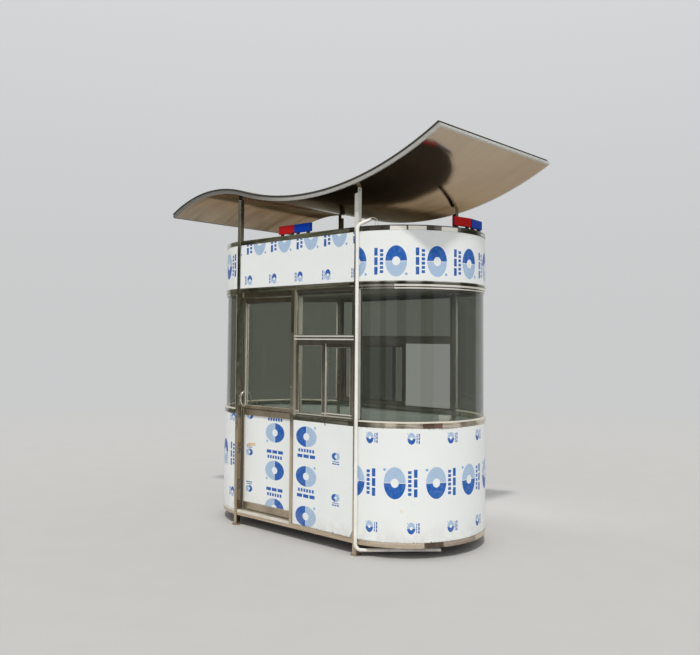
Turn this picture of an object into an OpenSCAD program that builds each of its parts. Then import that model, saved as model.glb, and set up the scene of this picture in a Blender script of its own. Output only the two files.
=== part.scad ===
// Security guard booth: a steel cabin with straight sides and curved ends,
// a sliding door, sliding windows and a wave-shaped canopy on four tall posts.
// Millimetres. The front is at -Y and the booth stands on z = 0.

/* [Booth plan] */
// Distance between the centres of the left and right posts
post_spacing = 1410; // [1100:10:2000]
// Depth of the booth over the outer faces of the posts
body_depth = 1350; // [1100:10:1800]
// Distance from a post's outer side in to the centre of the curved end
end_centre_in = 94; // [60:1:150]

/* [Posts and rails] */
// Width of the square post tube
post_w = 38; // [30:1:60]
// Width of the square rail tube
rail_w = 38; // [25:1:38]
// Height of the tab left standing at the top of a post
tab_h = 38; // [20:1:60]
// Thickness of the tab at the top of a post
tab_t = 5; // [3:0.5:8]
// Set-back of the rails and the mullion behind the posts' faces
rail_set = 2; // [1:0.5:4]
// Diameter of a post's foot flange
foot_d = 82; // [60:1:110]
// Thickness of a post's foot flange
foot_t = 6; // [4:1:12]
// Height of the underside of the bottom rail
bottom_rail_z = 88; // [60:1:120]
// Height of the underside of the sill rail
sill_rail_z = 970; // [800:5:1050]
// Height of the underside of the head rail
head_rail_z = 2037; // [1900:1:2200]
// Height of the top of the booth's body
body_h = 2500; // [2400:5:2700]

/* [Panels] */
// Thickness of the wall panels
panel_t = 30; // [20:1:34]
// Set-back of the panels behind the rails' faces
panel_set = 2; // [1:0.5:4]
// Thickness of the floor plate
floor_t = 8; // [4:1:15]
// Height of the floor joists
joist_h = 30; // [20:1:30]
// Width of a floor joist
joist_w = 40; // [25:1:60]
// Thickness of the ceiling panel
ceiling_t = 12; // [6:1:20]
// Height of the ceiling panel above the underside of the head rail
ceiling_up = 14; // [8:1:20]
// Thickness of the roof deck
deck_t = 14; // [8:1:25]
// Depth of the roof deck's top below the top rail's top
deck_down = 5; // [3:1:20]

/* [Curved glass] */
// Thickness of the curved end glass
end_glass_t = 6; // [4:0.5:10]
// Set-back of the curved glass behind the rails' faces
end_glass_set = 15; // [10:1:20]
// Depth of the glazing bead section
bead_d = 24; // [18:1:28]
// Set-back of the glazing beads behind the rails' faces
bead_set = 6; // [4:0.5:9]
// Height of the glazing bead on the sill
sill_bead_h = 11; // [8:1:20]
// Height of the glazing bead under the head rail
head_bead_h = 20; // [12:1:30]
// Depth of the slot that a pane edge sits in
glass_bite = 7; // [4:1:8]
// Width of the upright jamb beside a post
jamb_w = 18; // [12:1:30]

/* [Windows] */
// Width of the mullion between the door and the front window
mullion_w = 38; // [30:1:60]
// Width of a window frame's outer member
frame_w = 22; // [15:1:35]
// Set-back of the window frames behind the rails' faces
frame_set = 3; // [2:0.5:4]
// Height of the frame's bottom lip under the sashes
frame_lip = 11; // [8:1:20]
// Height of the transom's upper lip, of the groove under it and of the lower lip
frame_groove = 12; // [6:0.5:18]
// Depth of the groove along the transom's face
frame_groove_d = 3; // [1:0.5:4]
// Height of the transom's underside
transom_z = 1597; // [1500:1:1750]
// Height of the transom member
transom_h = 64; // [40:1:80]
// Width of a sash stile
sash_stile = 34; // [22:1:50]
// Height of a sash's top and bottom rails
sash_rail = 28; // [20:1:45]
// Height of the top and bottom rails of the front's left sash, which is fixed
fixed_rail = 14; // [12:1:30]
// Front to back depth of a sash
sash_d = 15; // [12:0.5:15.5]
// Overlap of two sashes at their meeting stiles
sash_lap = 34; // [20:1:50]
// Offset of the front sashes' meeting to the right of the window's middle
sash_meet = 5; // [-60:1:60]
// Distance by which the right back sash stands slid open
back_sash_open = 515; // [0:5:560]
// Thickness of the window panes
pane_t = 5; // [4:0.5:6]

/* [Door] */
// Gap between the door leaf's face and the rails' inner faces
door_gap = 20; // [18:1:40]
// Thickness of the door leaf
door_t = 40; // [30:1:45]
// Width by which the leaf laps behind the post
door_lap = 20; // [8:1:30]
// Width by which the leaf laps behind the mullion, past its far side
door_far_lap = 1; // [0:1:20]
// Width of the door's closing stile
door_stile = 37; // [34:1:80]
// Width of the door's trailing stile
door_back_stile = 90; // [50:1:110]
// Gap between the threshold and the leaf
door_lift = 10; // [8:1:20]
// Depth of the leaf's top below the head rail
door_drop = 51; // [45:1:90]
// Height of the door's top member
door_head = 38; // [30:1:60]
// Height of the underside of the door's middle member
door_mid_z = 960; // [850:5:1050]
// Height of the door's middle member
door_mid = 85; // [60:1:120]
// Height of the door's bottom member
door_kick = 58; // [45:1:100]
// Thickness of the door's lower panel
door_panel_t = 20; // [10:1:30]
// Thickness of the threshold strip
threshold_t = 6; // [3:1:8]
// Distance between the feet of a door pull
pull_len = 137; // [110:1:220]
// Diameter of a door pull's bar
pull_d = 12; // [10:0.5:14]
// Reach of a pull's bow from the leaf
pull_out = 38; // [32:1:50]
// Height of the pulls' middle
pull_z = 1098; // [1000:1:1200]
// Distance of the pulls from the leaf's closing edge
pull_in = 28; // [24:1:32]

/* [Door track] */
// Thickness of the track's plates
track_t = 4; // [3:0.5:6]
// Height of the track's lip
track_lip = 6; // [4:1:10]
// Gap between the leaf's top and the track
track_gap = 9; // [6:1:15]
// Diameter of a hanger roller
roller_d = 24; // [18:1:26]
// Width of a hanger roller
roller_w = 12; // [8:1:14]
// Running clearance of the rollers on the track
roller_clear = 0.3; // [0.2:0.1:0.6]
// Distance of a roller behind the leaf's face
roller_in = 7; // [5:1:12]
// Gap between a roller and the track's lip
roller_side = 6; // [5:0.5:8]
// Diameter of a roller's axle
axle_d = 8; // [6:1:12]
// Thickness of a hanger strap
strap_t = 4; // [3:0.5:6]
// Distance of a hanger from the end of the leaf
hanger_in = 100; // [60:5:200]

/* [Canopy] */
// Reach of the canopy to the left of the booth's centre
canopy_left = 1587; // [1400:1:1800]
// Reach of the canopy to the right of the booth's centre
canopy_right = 1553; // [1400:1:1800]
// Overhang of the canopy in front of and behind the posts
canopy_over = 105; // [60:5:250]
// Place of the wave's crest, measured from the booth's centre
crest_x = -945; // [-1100:5:-800]
// Height of the wave's crest above the booth's body
crest_up = 480; // [420:5:600]
// Radius of the crest
crest_r = 1400; // [1200:10:1700]
// Place of the wave's dip, measured from the booth's centre
dip_x = 237; // [100:1:350]
// Height of the wave's dip above the booth's body
dip_up = 305; // [240:5:360]
// Thickness of the canopy at its edge
canopy_t = 45; // [36:1:60]
// Thickness of the canopy's roof sheet
sheet_t = 3; // [2:0.5:6]
// Width of the edge trim
trim_w = 16; // [12:1:25]
// Height of the dark groove in the edge trim
groove_h = 14; // [8:1:18]
// Depth of the groove in the edge trim
groove_d = 7; // [4:1:9]
// Width and depth of a fine rib groove in the trim
rib = 1.5; // [1:0.5:2]
// Number of fine rib grooves
ribs = 3; // [1:1:3]

/* [Warning lights] */
// Length of a warning lamp
lamp_l = 187; // [120:1:300]
// Depth of a lamp's lens
lamp_lens_d = 18; // [10:1:40]
// Depth of the housing behind a lens
lamp_back_d = 8; // [5:1:15]
// Height of a lamp
lamp_h = 70; // [50:1:90]
// Radius of the lens's upper front edge
lamp_round = 7; // [3:0.5:9]
// Height of the feet that carry a lamp
lamp_foot_h = 15; // [8:1:30]
// Width of a lamp's foot
lamp_foot_w = 16; // [10:1:30]
// Distance of a foot's middle from the lamp's middle
lamp_foot_x = 60; // [40:1:80]
// Gap between a red and a blue lamp
lamp_gap = 3; // [2:1:20]
// Set-back of the lamps on the curved end behind the rail's face
lamp_set = 5; // [4:1:12]
// Place between the front's two lamps, measured from the booth's centre
front_lamps_x = 5; // [-100:1:100]

/* [Conduit] */
// Outer diameter of the conduit
conduit_d = 27; // [20:1:40]
// Wall of the conduit
conduit_wall = 2; // [1.5:0.5:3]
// Gap between the conduit and the post
conduit_gap = 1.5; // [1:0.5:4]
// Distance of the conduit's centre past the post's outer side
conduit_side = 7; // [5:0.5:12]
// Direction in which both ends lead away, turned from the booth's right towards its back
conduit_lead = 45; // [35:1:50]
// Height of the tail's centre under the booth
conduit_low = 48; // [30:1:60]
// Depth below the body's top at which the bend at the roof starts
conduit_drop = 23; // [0:1:40]
// Bend radius at both bends
conduit_bend = 48; // [40:1:70]
// Turn of the bend at the roof
conduit_turn = 65; // [50:1:75]
// Length of the straight end at the roof
conduit_mouth = 84; // [60:1:120]
// Length of the straight tail under the booth
conduit_tail = 600; // [200:10:640]
// Width of a conduit clip
clip_w = 16; // [10:1:25]
// Thickness of a clip's band
clip_t = 1.5; // [1:0.5:1.5]
// Reach of a clip's wing over the post
clip_reach = 30; // [20:1:40]
// Height of the lowest clip
clip_z = 400; // [200:10:600]
// Distance between the clips
clip_pitch = 750; // [500:10:900]
// Number of clips
clips = 3; // [2:1:3]
// Diameter of a wire from the conduit's mouth
wire_d = 5; // [4:0.5:7]
// Bend radius of the outer wire
wire_bend = 40; // [25:1:50]

/* [Socket box] */
// Width of the cable socket box inside the back wall
socket_w = 118; // [80:1:150]
// Height of the socket box
socket_h = 75; // [60:1:100]
// Depth of the socket box
socket_d = 35; // [20:1:50]
// Gap between the socket box and the back right post
socket_side = 5; // [2:1:300]
// Depth of the socket box's top below the sill rail
socket_drop = 11; // [5:1:200]

/* [Hidden] */
$fn = 96;
// Seat between pieces with curved or rebated faces
seat = 0.3;
// Overshoot of a cut past the piece that it cuts
over = 1;

post_x = post_spacing / 2;
post_in = post_x - post_w / 2;
post_out = post_x + post_w / 2;
half_depth = body_depth / 2;
rail_y = half_depth - rail_set;
end_x = post_out - end_centre_in;
end_r = sqrt(end_centre_in * end_centre_in + rail_y * rail_y);

bottom_rail_top = bottom_rail_z + rail_w;
sill_rail_top = sill_rail_z + rail_w;
head_rail_top = head_rail_z + rail_w;
top_rail_z = body_h - rail_w;
deck_top = body_h - deck_down;
ceiling_z = head_rail_z + ceiling_up;
sill_bead_top = sill_rail_top + sill_bead_h;
head_bead_z = head_rail_z - head_bead_h;
rail_in_y = rail_y - rail_w;

// The canopy's wave: a crest and a dip that meet on one tangent
crest_z = body_h + crest_up;
dip_z = body_h + dip_up;
flight = 2 * atan((crest_z - dip_z) / (dip_x - crest_x));
dip_r = (dip_x - crest_x) / sin(flight) - crest_r;
crest_end = asin((crest_x + canopy_left) / crest_r);
dip_end = asin((canopy_right - dip_x) / dip_r);
canopy_half = half_depth + canopy_over;
// The canopy sets the overall width, so the booth stands off centre by this much
booth_shift = (canopy_left - canopy_right - canopy_t * sin(dip_end)) / 2;
// Height over the wave within which a post is cut away
wave_cover = 350;
// Facets of the wave's circles, sides of a wire and steps of its bend
wave_fn = 240;
wire_sides = 10;
wire_steps = 8;

mullion_x = mullion_w / 2;
frame_y = rail_y - frame_set;
frame_d = rail_w - frame_set;
sash_gap = (frame_d - 2 * sash_d) / 3;
outer_track = frame_y - sash_gap - sash_d;
inner_track = outer_track - sash_gap - sash_d;
window_z = sill_rail_top;
window_top = head_rail_z;
sash_z = window_z + frame_lip;
sash_top = transom_z - seat;

door_top = head_rail_z - door_drop;
door_y = -rail_in_y + door_gap;
door_x0 = -post_in - door_lap;
door_x1 = mullion_x + door_far_lap;
door_z = bottom_rail_top + threshold_t + door_lift;
pull_x = door_x0 + pull_in;
track_z = door_top + track_gap;
roller_y = door_y + roller_in;
axle_z = track_z + track_t + roller_clear + roller_d / 2;

lamp_d = lamp_lens_d + lamp_back_d;
lamp_z = body_h + lamp_foot_h;
lamp_reach = (lamp_l + lamp_gap) / 2;
lamp_turn = atan(lamp_reach / (end_r - lamp_set - lamp_d));

pipe_x = post_out + conduit_side;
pipe_y = -half_depth - conduit_gap - conduit_d / 2;
conduit_high = body_h - conduit_drop;

steel = "silver";
mirror_steel = "gainsboro";
film = "aliceblue";
aluminium = "lightgray";
clear_glass = "lightblue";

// Moves a piece from the booth's own centre line to the model's origin
module in_booth() {
    translate([booth_shift, 0, 0]) children();
}

// Bar along X in the front (side -1) or back (side 1) wall, set in from the rails' faces
module wall_bar(side, x0, x1, z0, z1, inset, depth) {
    y0 = side < 0 ? -rail_y + inset : rail_y - inset - depth;
    translate([x0, y0, z0]) cube([x1 - x0, depth, z1 - z0]);
}

// Half space beyond a post's outer side, which holds a curved end
module end_room(side, z0, z1, back_off = 0) {
    room = 2 * end_r;
    x0 = side < 0 ? -post_out - back_off - room : post_out + back_off;
    translate([x0, -room, z0]) cube([room, 2 * room, z1 - z0]);
}

// Curved wall piece of an end, between two heights
module end_arc(side, z0, z1, inset, depth, back_off = 0) {
    intersection() {
        translate([side * end_x, 0, z0]) difference() {
            cylinder(r = end_r - inset, h = z1 - z0);
            translate([0, 0, -over]) cylinder(r = end_r - inset - depth, h = z1 - z0 + 2 * over);
        }
        end_room(side, z0 - over, z1 + over, back_off);
    }
}

// Ring of rail tubes between the posts and round both ends
module rail_ring(z, front = true) {
    for (side = [-1, 1]) {
        if (front || side > 0)
            wall_bar(side, -post_in, post_in, z, z + rail_w, 0, rail_w);
        end_arc(side, z, z + rail_w, 0, rail_w);
    }
}

// Flat plate that fills the plan of the booth inside the rails
module plan_plate(z, t) {
    inset = rail_w + seat;
    difference() {
        union() {
            translate([-post_out, -rail_y + inset, z]) cube([2 * post_out, 2 * (rail_y - inset), t]);
            for (side = [-1, 1]) intersection() {
                translate([side * end_x, 0, z]) cylinder(r = end_r - inset, h = t);
                end_room(side, z - over, z + t + over, -over);
            }
        }
        for (x = [-1, 1], y = [-1, 1])
            translate([x * post_x, y * (half_depth - post_w / 2), z + t / 2])
                cube([post_w + 2 * seat, post_w + 2 * seat, t + 2 * over], center = true);
    }
}

// Angle that a length takes up on a circle
function arc_deg(len, r) = len / r * 180 / PI;

// Sweeps a section along the crest, between two angles from its top.
// In every canopy section x is the depth below the top face and y runs to the front
module crest_arc(a0, a1) {
    translate([crest_x, 0, crest_z - crest_r]) rotate([90, 0, 0]) rotate([0, 0, 90 - a1])
        rotate_extrude(angle = a1 - a0, $fn = wave_fn)
            translate([crest_r, 0]) mirror([1, 0]) children();
}

// Sweeps a section along the dip, between two angles from its bottom
module dip_arc(b0, b1) {
    translate([dip_x, 0, dip_z + dip_r]) rotate([90, 0, 0]) rotate([0, 0, b0 - 90])
        rotate_extrude(angle = b1 - b0, $fn = wave_fn)
            translate([dip_r, 0]) children();
}

// Sweeps a section along the whole wave, less a length cut off each end
module along_wave(cut = 0) {
    crest_arc(arc_deg(cut, crest_r) - crest_end, flight) children();
    dip_arc(-flight, dip_end - arc_deg(cut, dip_r)) children();
}

// Wave-shaped slab as large as the canopy less a cut at all four edges, between two depths
module wave_slab(cut, t0, t1) {
    half = canopy_half - cut;
    along_wave(cut) translate([t0, -half]) square([t1 - t0, 2 * half]);
}

// Groove round all four edges of the canopy, between two depths
module edge_groove(deep, t0, t1) {
    difference() {
        wave_slab(-over, t0, t1);
        wave_slab(deep, t0 - over, t1 + over);
    }
}

module foot_flanges() color(steel) in_booth()
    for (x = [-1, 1], y = [-1, 1])
        translate([x * post_x, y * (half_depth - post_w / 2), 0]) cylinder(d = foot_d, h = foot_t);

// Post pair from the foot flanges up to the canopy, notched so that only the outer wall of each post
// goes all the way, as a tab
module post_pair(side) {
    post_top = crest_z + canopy_t;
    notch_w = post_w - tab_t + over;
    difference() {
        in_booth() for (x = [-1, 1])
            translate([x * post_x - post_w / 2, side * (half_depth - post_w / 2) - post_w / 2, foot_t])
                cube([post_w, post_w, post_top - foot_t]);
        in_booth() wave_slab(0, -wave_cover, canopy_t);
        in_booth() intersection() {
            wave_slab(0, -wave_cover, canopy_t + tab_h);
            for (x = [-1, 1])
                translate([x * (post_in - over + notch_w / 2), side * (half_depth - post_w / 2), post_top])
                    cube([notch_w, post_w + 2 * over, 2 * (post_top - body_h)], center = true);
        }
    }
}

module front_posts() color(steel) post_pair(-1);

module back_posts() color(steel) post_pair(1);

module bottom_rail() color(steel) in_booth() rail_ring(bottom_rail_z);

module sill_rail() color(steel) in_booth() {
    rail_ring(sill_rail_z, front = false);
    wall_bar(-1, mullion_x, post_in, sill_rail_z, sill_rail_top, 0, rail_w);
}

module head_rail() color(steel) in_booth() rail_ring(head_rail_z);

module top_rail() color(steel) in_booth() rail_ring(top_rail_z);

module floor_plate() color("dimgray") in_booth() plan_plate(bottom_rail_top - floor_t, floor_t);

module floor_joists() color("gray") in_booth()
    for (k = [-1, 0, 1])
        translate([k * post_spacing / 3 - joist_w / 2, -rail_in_y, bottom_rail_top - floor_t - joist_h])
            cube([joist_w, 2 * rail_in_y, joist_h]);

module ceiling_panel() color("white") in_booth() plan_plate(ceiling_z, ceiling_t);

module roof_deck() color("dimgray") in_booth() plan_plate(deck_top - deck_t, deck_t);

module fascia_front() color(film) in_booth()
    wall_bar(-1, -post_in, post_in, head_rail_top, top_rail_z, panel_set, panel_t);

module fascia_back() color(film) in_booth()
    wall_bar(1, -post_in, post_in, head_rail_top, top_rail_z, panel_set, panel_t);

module fascia_left() color(film) in_booth() end_arc(-1, head_rail_top, top_rail_z, panel_set, panel_t);

module fascia_right() color(film) in_booth() end_arc(1, head_rail_top, top_rail_z, panel_set, panel_t);

module lower_panel_front() color(film) in_booth()
    wall_bar(-1, mullion_x, post_in, bottom_rail_top, sill_rail_z, panel_set, panel_t);

module lower_panel_back() color(film) in_booth()
    wall_bar(1, -post_in, post_in, bottom_rail_top, sill_rail_z, panel_set, panel_t);

module lower_panel_left() color(film) in_booth()
    end_arc(-1, bottom_rail_top, sill_rail_z, panel_set, panel_t);

module lower_panel_right() color(film) in_booth()
    end_arc(1, bottom_rail_top, sill_rail_z, panel_set, panel_t);

// Strip of a curved end beside its posts, as wide as a jamb
module jamb_room(side, w) {
    for (y = [-1, 1])
        translate([side * post_out, y * rail_y, (sill_rail_top + head_rail_z) / 2])
            cube([2 * w, rail_y, head_rail_z - sill_rail_top], center = true);
}

// Frames of the curved glass: a bead on the sill, one under the head rail and an upright at each post
module glazing_frames() color(steel) in_booth()
    for (side = [-1, 1]) difference() {
        union() {
            end_arc(side, sill_rail_top, sill_bead_top, bead_set, bead_d);
            end_arc(side, head_bead_z, head_rail_z, bead_set, bead_d);
            intersection() {
                end_arc(side, sill_rail_top, head_rail_z, bead_set, bead_d);
                jamb_room(side, jamb_w);
            }
        }
        difference() {
            end_arc(side, sill_bead_top - glass_bite, head_bead_z + glass_bite,
                end_glass_set - seat, end_glass_t + 2 * seat, -over);
            jamb_room(side, jamb_w - glass_bite);
        }
    }

module end_glass(side) color(clear_glass) in_booth() difference() {
    end_arc(side, sill_bead_top - glass_bite + seat, head_bead_z + glass_bite - seat,
        end_glass_set, end_glass_t);
    jamb_room(side, jamb_w - glass_bite + seat);
}

module end_glass_left() end_glass(-1);

module end_glass_right() end_glass(1);

module mullion() color(steel) in_booth()
    wall_bar(-1, -mullion_x, mullion_x, bottom_rail_top, head_rail_z, 0, rail_w);

// Window frame with a transom, drawn with its outer face at -Y
module window_frame(x0, x1) {
    difference() {
        translate([x0, -frame_y, window_z]) cube([x1 - x0, frame_d, window_top - window_z]);
        translate([x0 + frame_w, -frame_y - over, transom_z + transom_h])
            cube([x1 - x0 - 2 * frame_w, frame_d + 2 * over, window_top - frame_w - transom_z - transom_h]);
        translate([x0 + frame_w, -frame_y - over, sash_z])
            cube([x1 - x0 - 2 * frame_w, frame_d + 2 * over, transom_z - sash_z]);
        translate([x0 + frame_w - glass_bite, -outer_track - pane_t - seat, transom_z + transom_h - glass_bite])
            cube([x1 - x0 - 2 * frame_w + 2 * glass_bite, pane_t + 2 * seat,
                window_top - frame_w - transom_z - transom_h + 2 * glass_bite]);
        translate([x0 - over, -frame_y - over, transom_z + transom_h - 2 * frame_groove])
            cube([x1 - x0 + 2 * over, frame_groove_d + over, frame_groove]);
        translate([x0 + frame_w, -frame_y - over, transom_z - over])
            cube([x1 - x0 - 2 * frame_w, frame_groove_d + over, transom_h - 3 * frame_groove + over]);
    }
}

// Fixed pane above the transom
module upper_pane(x0, x1) {
    translate([x0 + frame_w - glass_bite + seat, -outer_track - pane_t, transom_z + transom_h - glass_bite + seat])
        cube([x1 - x0 - 2 * (frame_w - glass_bite + seat), pane_t,
            window_top - frame_w - transom_z - transom_h + 2 * (glass_bite - seat)]);
}

// Sash with a slot for its pane, in the outer or the inner track
module sash(x0, x1, track, bar = sash_rail) {
    difference() {
        translate([x0, -track - sash_d, sash_z + seat]) cube([x1 - x0, sash_d, sash_top - sash_z - seat]);
        translate([x0 + sash_stile, -track - sash_d - over, sash_z + bar])
            cube([x1 - x0 - 2 * sash_stile, sash_d + 2 * over, sash_top - sash_z - 2 * bar]);
        translate([x0 + sash_stile - glass_bite, -track - sash_d / 2 - pane_t / 2 - seat,
            sash_z + bar - glass_bite])
            cube([x1 - x0 - 2 * sash_stile + 2 * glass_bite, pane_t + 2 * seat,
                sash_top - sash_z - 2 * bar + 2 * glass_bite]);
    }
}

module sash_pane(x0, x1, track, bar = sash_rail) {
    bite = glass_bite - seat;
    translate([x0 + sash_stile - bite, -track - sash_d / 2 - pane_t / 2, sash_z + bar - bite])
        cube([x1 - x0 - 2 * sash_stile + 2 * bite, pane_t, sash_top - sash_z - 2 * bar + 2 * bite]);
}

// Ends of the front and back windows and the places of their sashes
front_x0 = mullion_x;
front_x1 = post_in;
front_mid = (front_x0 + front_x1) / 2 + sash_meet;
back_x0 = -post_in;
back_x1 = post_in;
front_left_sash = [front_x0 + frame_w + seat, front_mid + sash_lap / 2];
front_right_sash = [front_mid - sash_lap / 2, front_x1 - frame_w - seat];
back_sash_w = (back_x1 - back_x0 + sash_lap) / 2 - frame_w - seat;
back_left_sash = [back_x0 + frame_w + seat, back_x0 + frame_w + seat + back_sash_w];
back_right_sash = [back_x1 - frame_w - seat - back_sash_w - back_sash_open,
    back_x1 - frame_w - seat - back_sash_open];

module front_window_frame() color(aluminium) in_booth() window_frame(front_x0, front_x1);

module back_window_frame() color(aluminium) in_booth() mirror([0, 1, 0]) window_frame(back_x0, back_x1);

module front_sashes() color(aluminium) in_booth() {
    sash(front_left_sash[0], front_left_sash[1], outer_track, fixed_rail);
    sash(front_right_sash[0], front_right_sash[1], inner_track);
}

module back_sashes() color(aluminium) in_booth() mirror([0, 1, 0]) {
    sash(back_left_sash[0], back_left_sash[1], outer_track);
    sash(back_right_sash[0], back_right_sash[1], inner_track);
}

module upper_panes() color(clear_glass) in_booth() {
    upper_pane(front_x0, front_x1);
    mirror([0, 1, 0]) upper_pane(back_x0, back_x1);
}

module sash_panes() color(clear_glass) in_booth() {
    sash_pane(front_left_sash[0], front_left_sash[1], outer_track, fixed_rail);
    sash_pane(front_right_sash[0], front_right_sash[1], inner_track);
    mirror([0, 1, 0]) {
        sash_pane(back_left_sash[0], back_left_sash[1], outer_track);
        sash_pane(back_right_sash[0], back_right_sash[1], inner_track);
    }
}

door_pane_z0 = door_mid_z + door_mid;
door_pane_z1 = door_top - door_head;
door_open_w = door_x1 - door_x0 - door_stile - door_back_stile;

// Sliding leaf: stiles and rails round an upper pane and a lower panel
module door_frame() color(aluminium) in_booth() difference() {
    translate([door_x0, door_y, door_z]) cube([door_x1 - door_x0, door_t, door_top - door_z]);
    translate([door_x0 + door_stile, door_y - over, door_pane_z0])
        cube([door_open_w, door_t + 2 * over, door_pane_z1 - door_pane_z0]);
    translate([door_x0 + door_stile, door_y - over, door_z + door_kick])
        cube([door_open_w, door_t + 2 * over, door_mid_z - door_z - door_kick]);
    translate([door_x0 + door_stile - glass_bite, door_y + door_t / 2 - pane_t / 2 - seat, door_pane_z0 - glass_bite])
        cube([door_open_w + 2 * glass_bite, pane_t + 2 * seat, door_pane_z1 - door_pane_z0 + 2 * glass_bite]);
}

module door_pane() color(clear_glass) in_booth()
    translate([door_x0 + door_stile - glass_bite + seat, door_y + door_t / 2 - pane_t / 2,
        door_pane_z0 - glass_bite + seat])
        cube([door_open_w + 2 * (glass_bite - seat), pane_t, door_pane_z1 - door_pane_z0 + 2 * (glass_bite - seat)]);

module door_panel() color(film) in_booth()
    translate([door_x0 + door_stile, door_y + (door_t - door_panel_t) / 2, door_z + door_kick])
        cube([door_open_w, door_panel_t, door_mid_z - door_z - door_kick]);

// Pulls on both sides of the closing stile, each a bow of round bar that ends on the leaf
module door_pull() color(steel) in_booth() {
    bow_r = (pull_len * pull_len / 4 + pull_out * pull_out) / (2 * pull_out);
    for (inside = [0, 1])
        translate([pull_x, door_y + door_t / 2, pull_z]) mirror([0, 1 - inside, 0]) difference() {
            translate([0, door_t / 2 + pull_out - bow_r, 0]) rotate([0, -90, 0])
                rotate_extrude() translate([bow_r, 0]) circle(d = pull_d);
            translate([-pull_d, door_t / 2 - 4 * bow_r, -2 * bow_r]) cube([2 * pull_d, 4 * bow_r, 4 * bow_r]);
        }
}

// Hanger straps with rollers that run on the track
module door_hangers() color(steel) in_booth()
    for (x = [door_x0 + hanger_in, door_x1 - hanger_in]) {
        strap_y = door_y + door_t - strap_t;
        translate([x - roller_d / 2, strap_y, door_top]) cube([roller_d, strap_t, axle_z + roller_d / 2 - door_top]);
        translate([x, strap_y, axle_z]) rotate([90, 0, 0]) cylinder(d = axle_d, h = strap_y - roller_y);
        translate([x, roller_y + roller_w, axle_z]) rotate([90, 0, 0]) cylinder(d = roller_d, h = roller_w);
    }

// Track behind the head rail: an upright plate, a ledge for the rollers and a raised lip
module door_track() color(aluminium) in_booth() {
    ledge = roller_y + roller_w + roller_side + track_t + rail_in_y;
    translate([-post_in, -rail_in_y, track_z]) {
        cube([2 * post_in, track_t, ceiling_z - seat - track_z]);
        cube([2 * post_in, ledge, track_t]);
        translate([0, ledge - track_t, 0]) cube([2 * post_in, track_t, track_t + track_lip]);
    }
}

module door_threshold() color(aluminium) in_booth()
    translate([-post_in, -rail_y, bottom_rail_top])
        cube([post_in - mullion_x, rail_y + door_y + door_t, threshold_t]);

module canopy_panel() color(mirror_steel) in_booth() wave_slab(trim_w, 0, canopy_t);

// Edge frame of the canopy: a top lip, a dark groove and a band of fine ribs
module canopy_edge_trim() color(aluminium) in_booth() difference() {
    wave_slab(0, 0, canopy_t);
    wave_slab(trim_w, -over, canopy_t + over);
    edge_groove(groove_d, sheet_t, sheet_t + groove_h);
    for (k = [1:ribs]) {
        rib_t = sheet_t + groove_h + k * (canopy_t - sheet_t - groove_h) / (ribs + 1);
        edge_groove(rib, rib_t, rib_t + rib);
    }
}

// Puts a lamp, drawn along X behind y = 0, on the front and on the right end; side -1 is the red one
module each_lamp(side) {
    translate([front_lamps_x + side * lamp_reach, -rail_y, 0]) children();
    translate([end_x, 0, 0]) rotate([0, 0, 90 + side * lamp_turn]) translate([0, lamp_set - end_r, 0]) children();
}

// Lens with a rounded upper edge, in front of its housing
module lamp_lens()
    translate([-lamp_l / 2, 0, lamp_z]) rotate([90, 0, 90]) linear_extrude(lamp_l) {
        translate([lamp_round, 0]) square([lamp_lens_d - lamp_round, lamp_h]);
        square([lamp_lens_d, lamp_h - lamp_round]);
        translate([lamp_round, lamp_h - lamp_round]) circle(r = lamp_round);
    }

// Housings and feet of the lamps
module light_bases() color("dimgray") in_booth()
    for (side = [-1, 1]) each_lamp(side) {
        translate([-lamp_l / 2, lamp_lens_d, lamp_z]) cube([lamp_l, lamp_back_d, lamp_h]);
        for (x = [-lamp_foot_x, lamp_foot_x])
            translate([x - lamp_foot_w / 2, 0, body_h]) cube([lamp_foot_w, lamp_d, lamp_foot_h]);
    }

module light_lenses_red() color("red") in_booth() each_lamp(-1) lamp_lens();

module light_lenses_blue() color("blue") in_booth() each_lamp(1) lamp_lens();

// Turns the conduit's own plane, with x along its lead and y up, into place beside the post
module conduit_plane() {
    translate([pipe_x, pipe_y, 0]) rotate([0, 0, conduit_lead]) rotate([90, 0, 0]) children();
}

// Run of the conduit: a tail, a bend, the riser, a second bend and the open mouth
module conduit_run(d, extra = 0) {
    z0 = conduit_low + conduit_bend;
    translate([conduit_bend, conduit_low, 0]) rotate([0, 90, 0]) cylinder(d = d, h = conduit_tail + extra);
    translate([conduit_bend, z0, 0]) rotate([0, 0, 180])
        rotate_extrude(angle = 90) translate([conduit_bend, 0]) circle(d = d);
    translate([0, z0, 0]) rotate([-90, 0, 0]) cylinder(d = d, h = conduit_high - z0);
    translate([conduit_bend, conduit_high, 0]) rotate([0, 0, 180 - conduit_turn])
        rotate_extrude(angle = conduit_turn) translate([conduit_bend, 0]) circle(d = d);
    conduit_end() rotate([-90, 0, 0]) cylinder(d = d, h = conduit_mouth + extra);
}

// Moves to the end of the upper bend, with y along the straight end
module conduit_end() {
    translate([conduit_bend, conduit_high, 0]) rotate([0, 0, -conduit_turn])
        translate([-conduit_bend, 0, 0]) children();
}

module conduit() color("white") in_booth() conduit_plane() difference() {
    conduit_run(conduit_d);
    conduit_run(conduit_d - 2 * conduit_wall, over);
}

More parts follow.
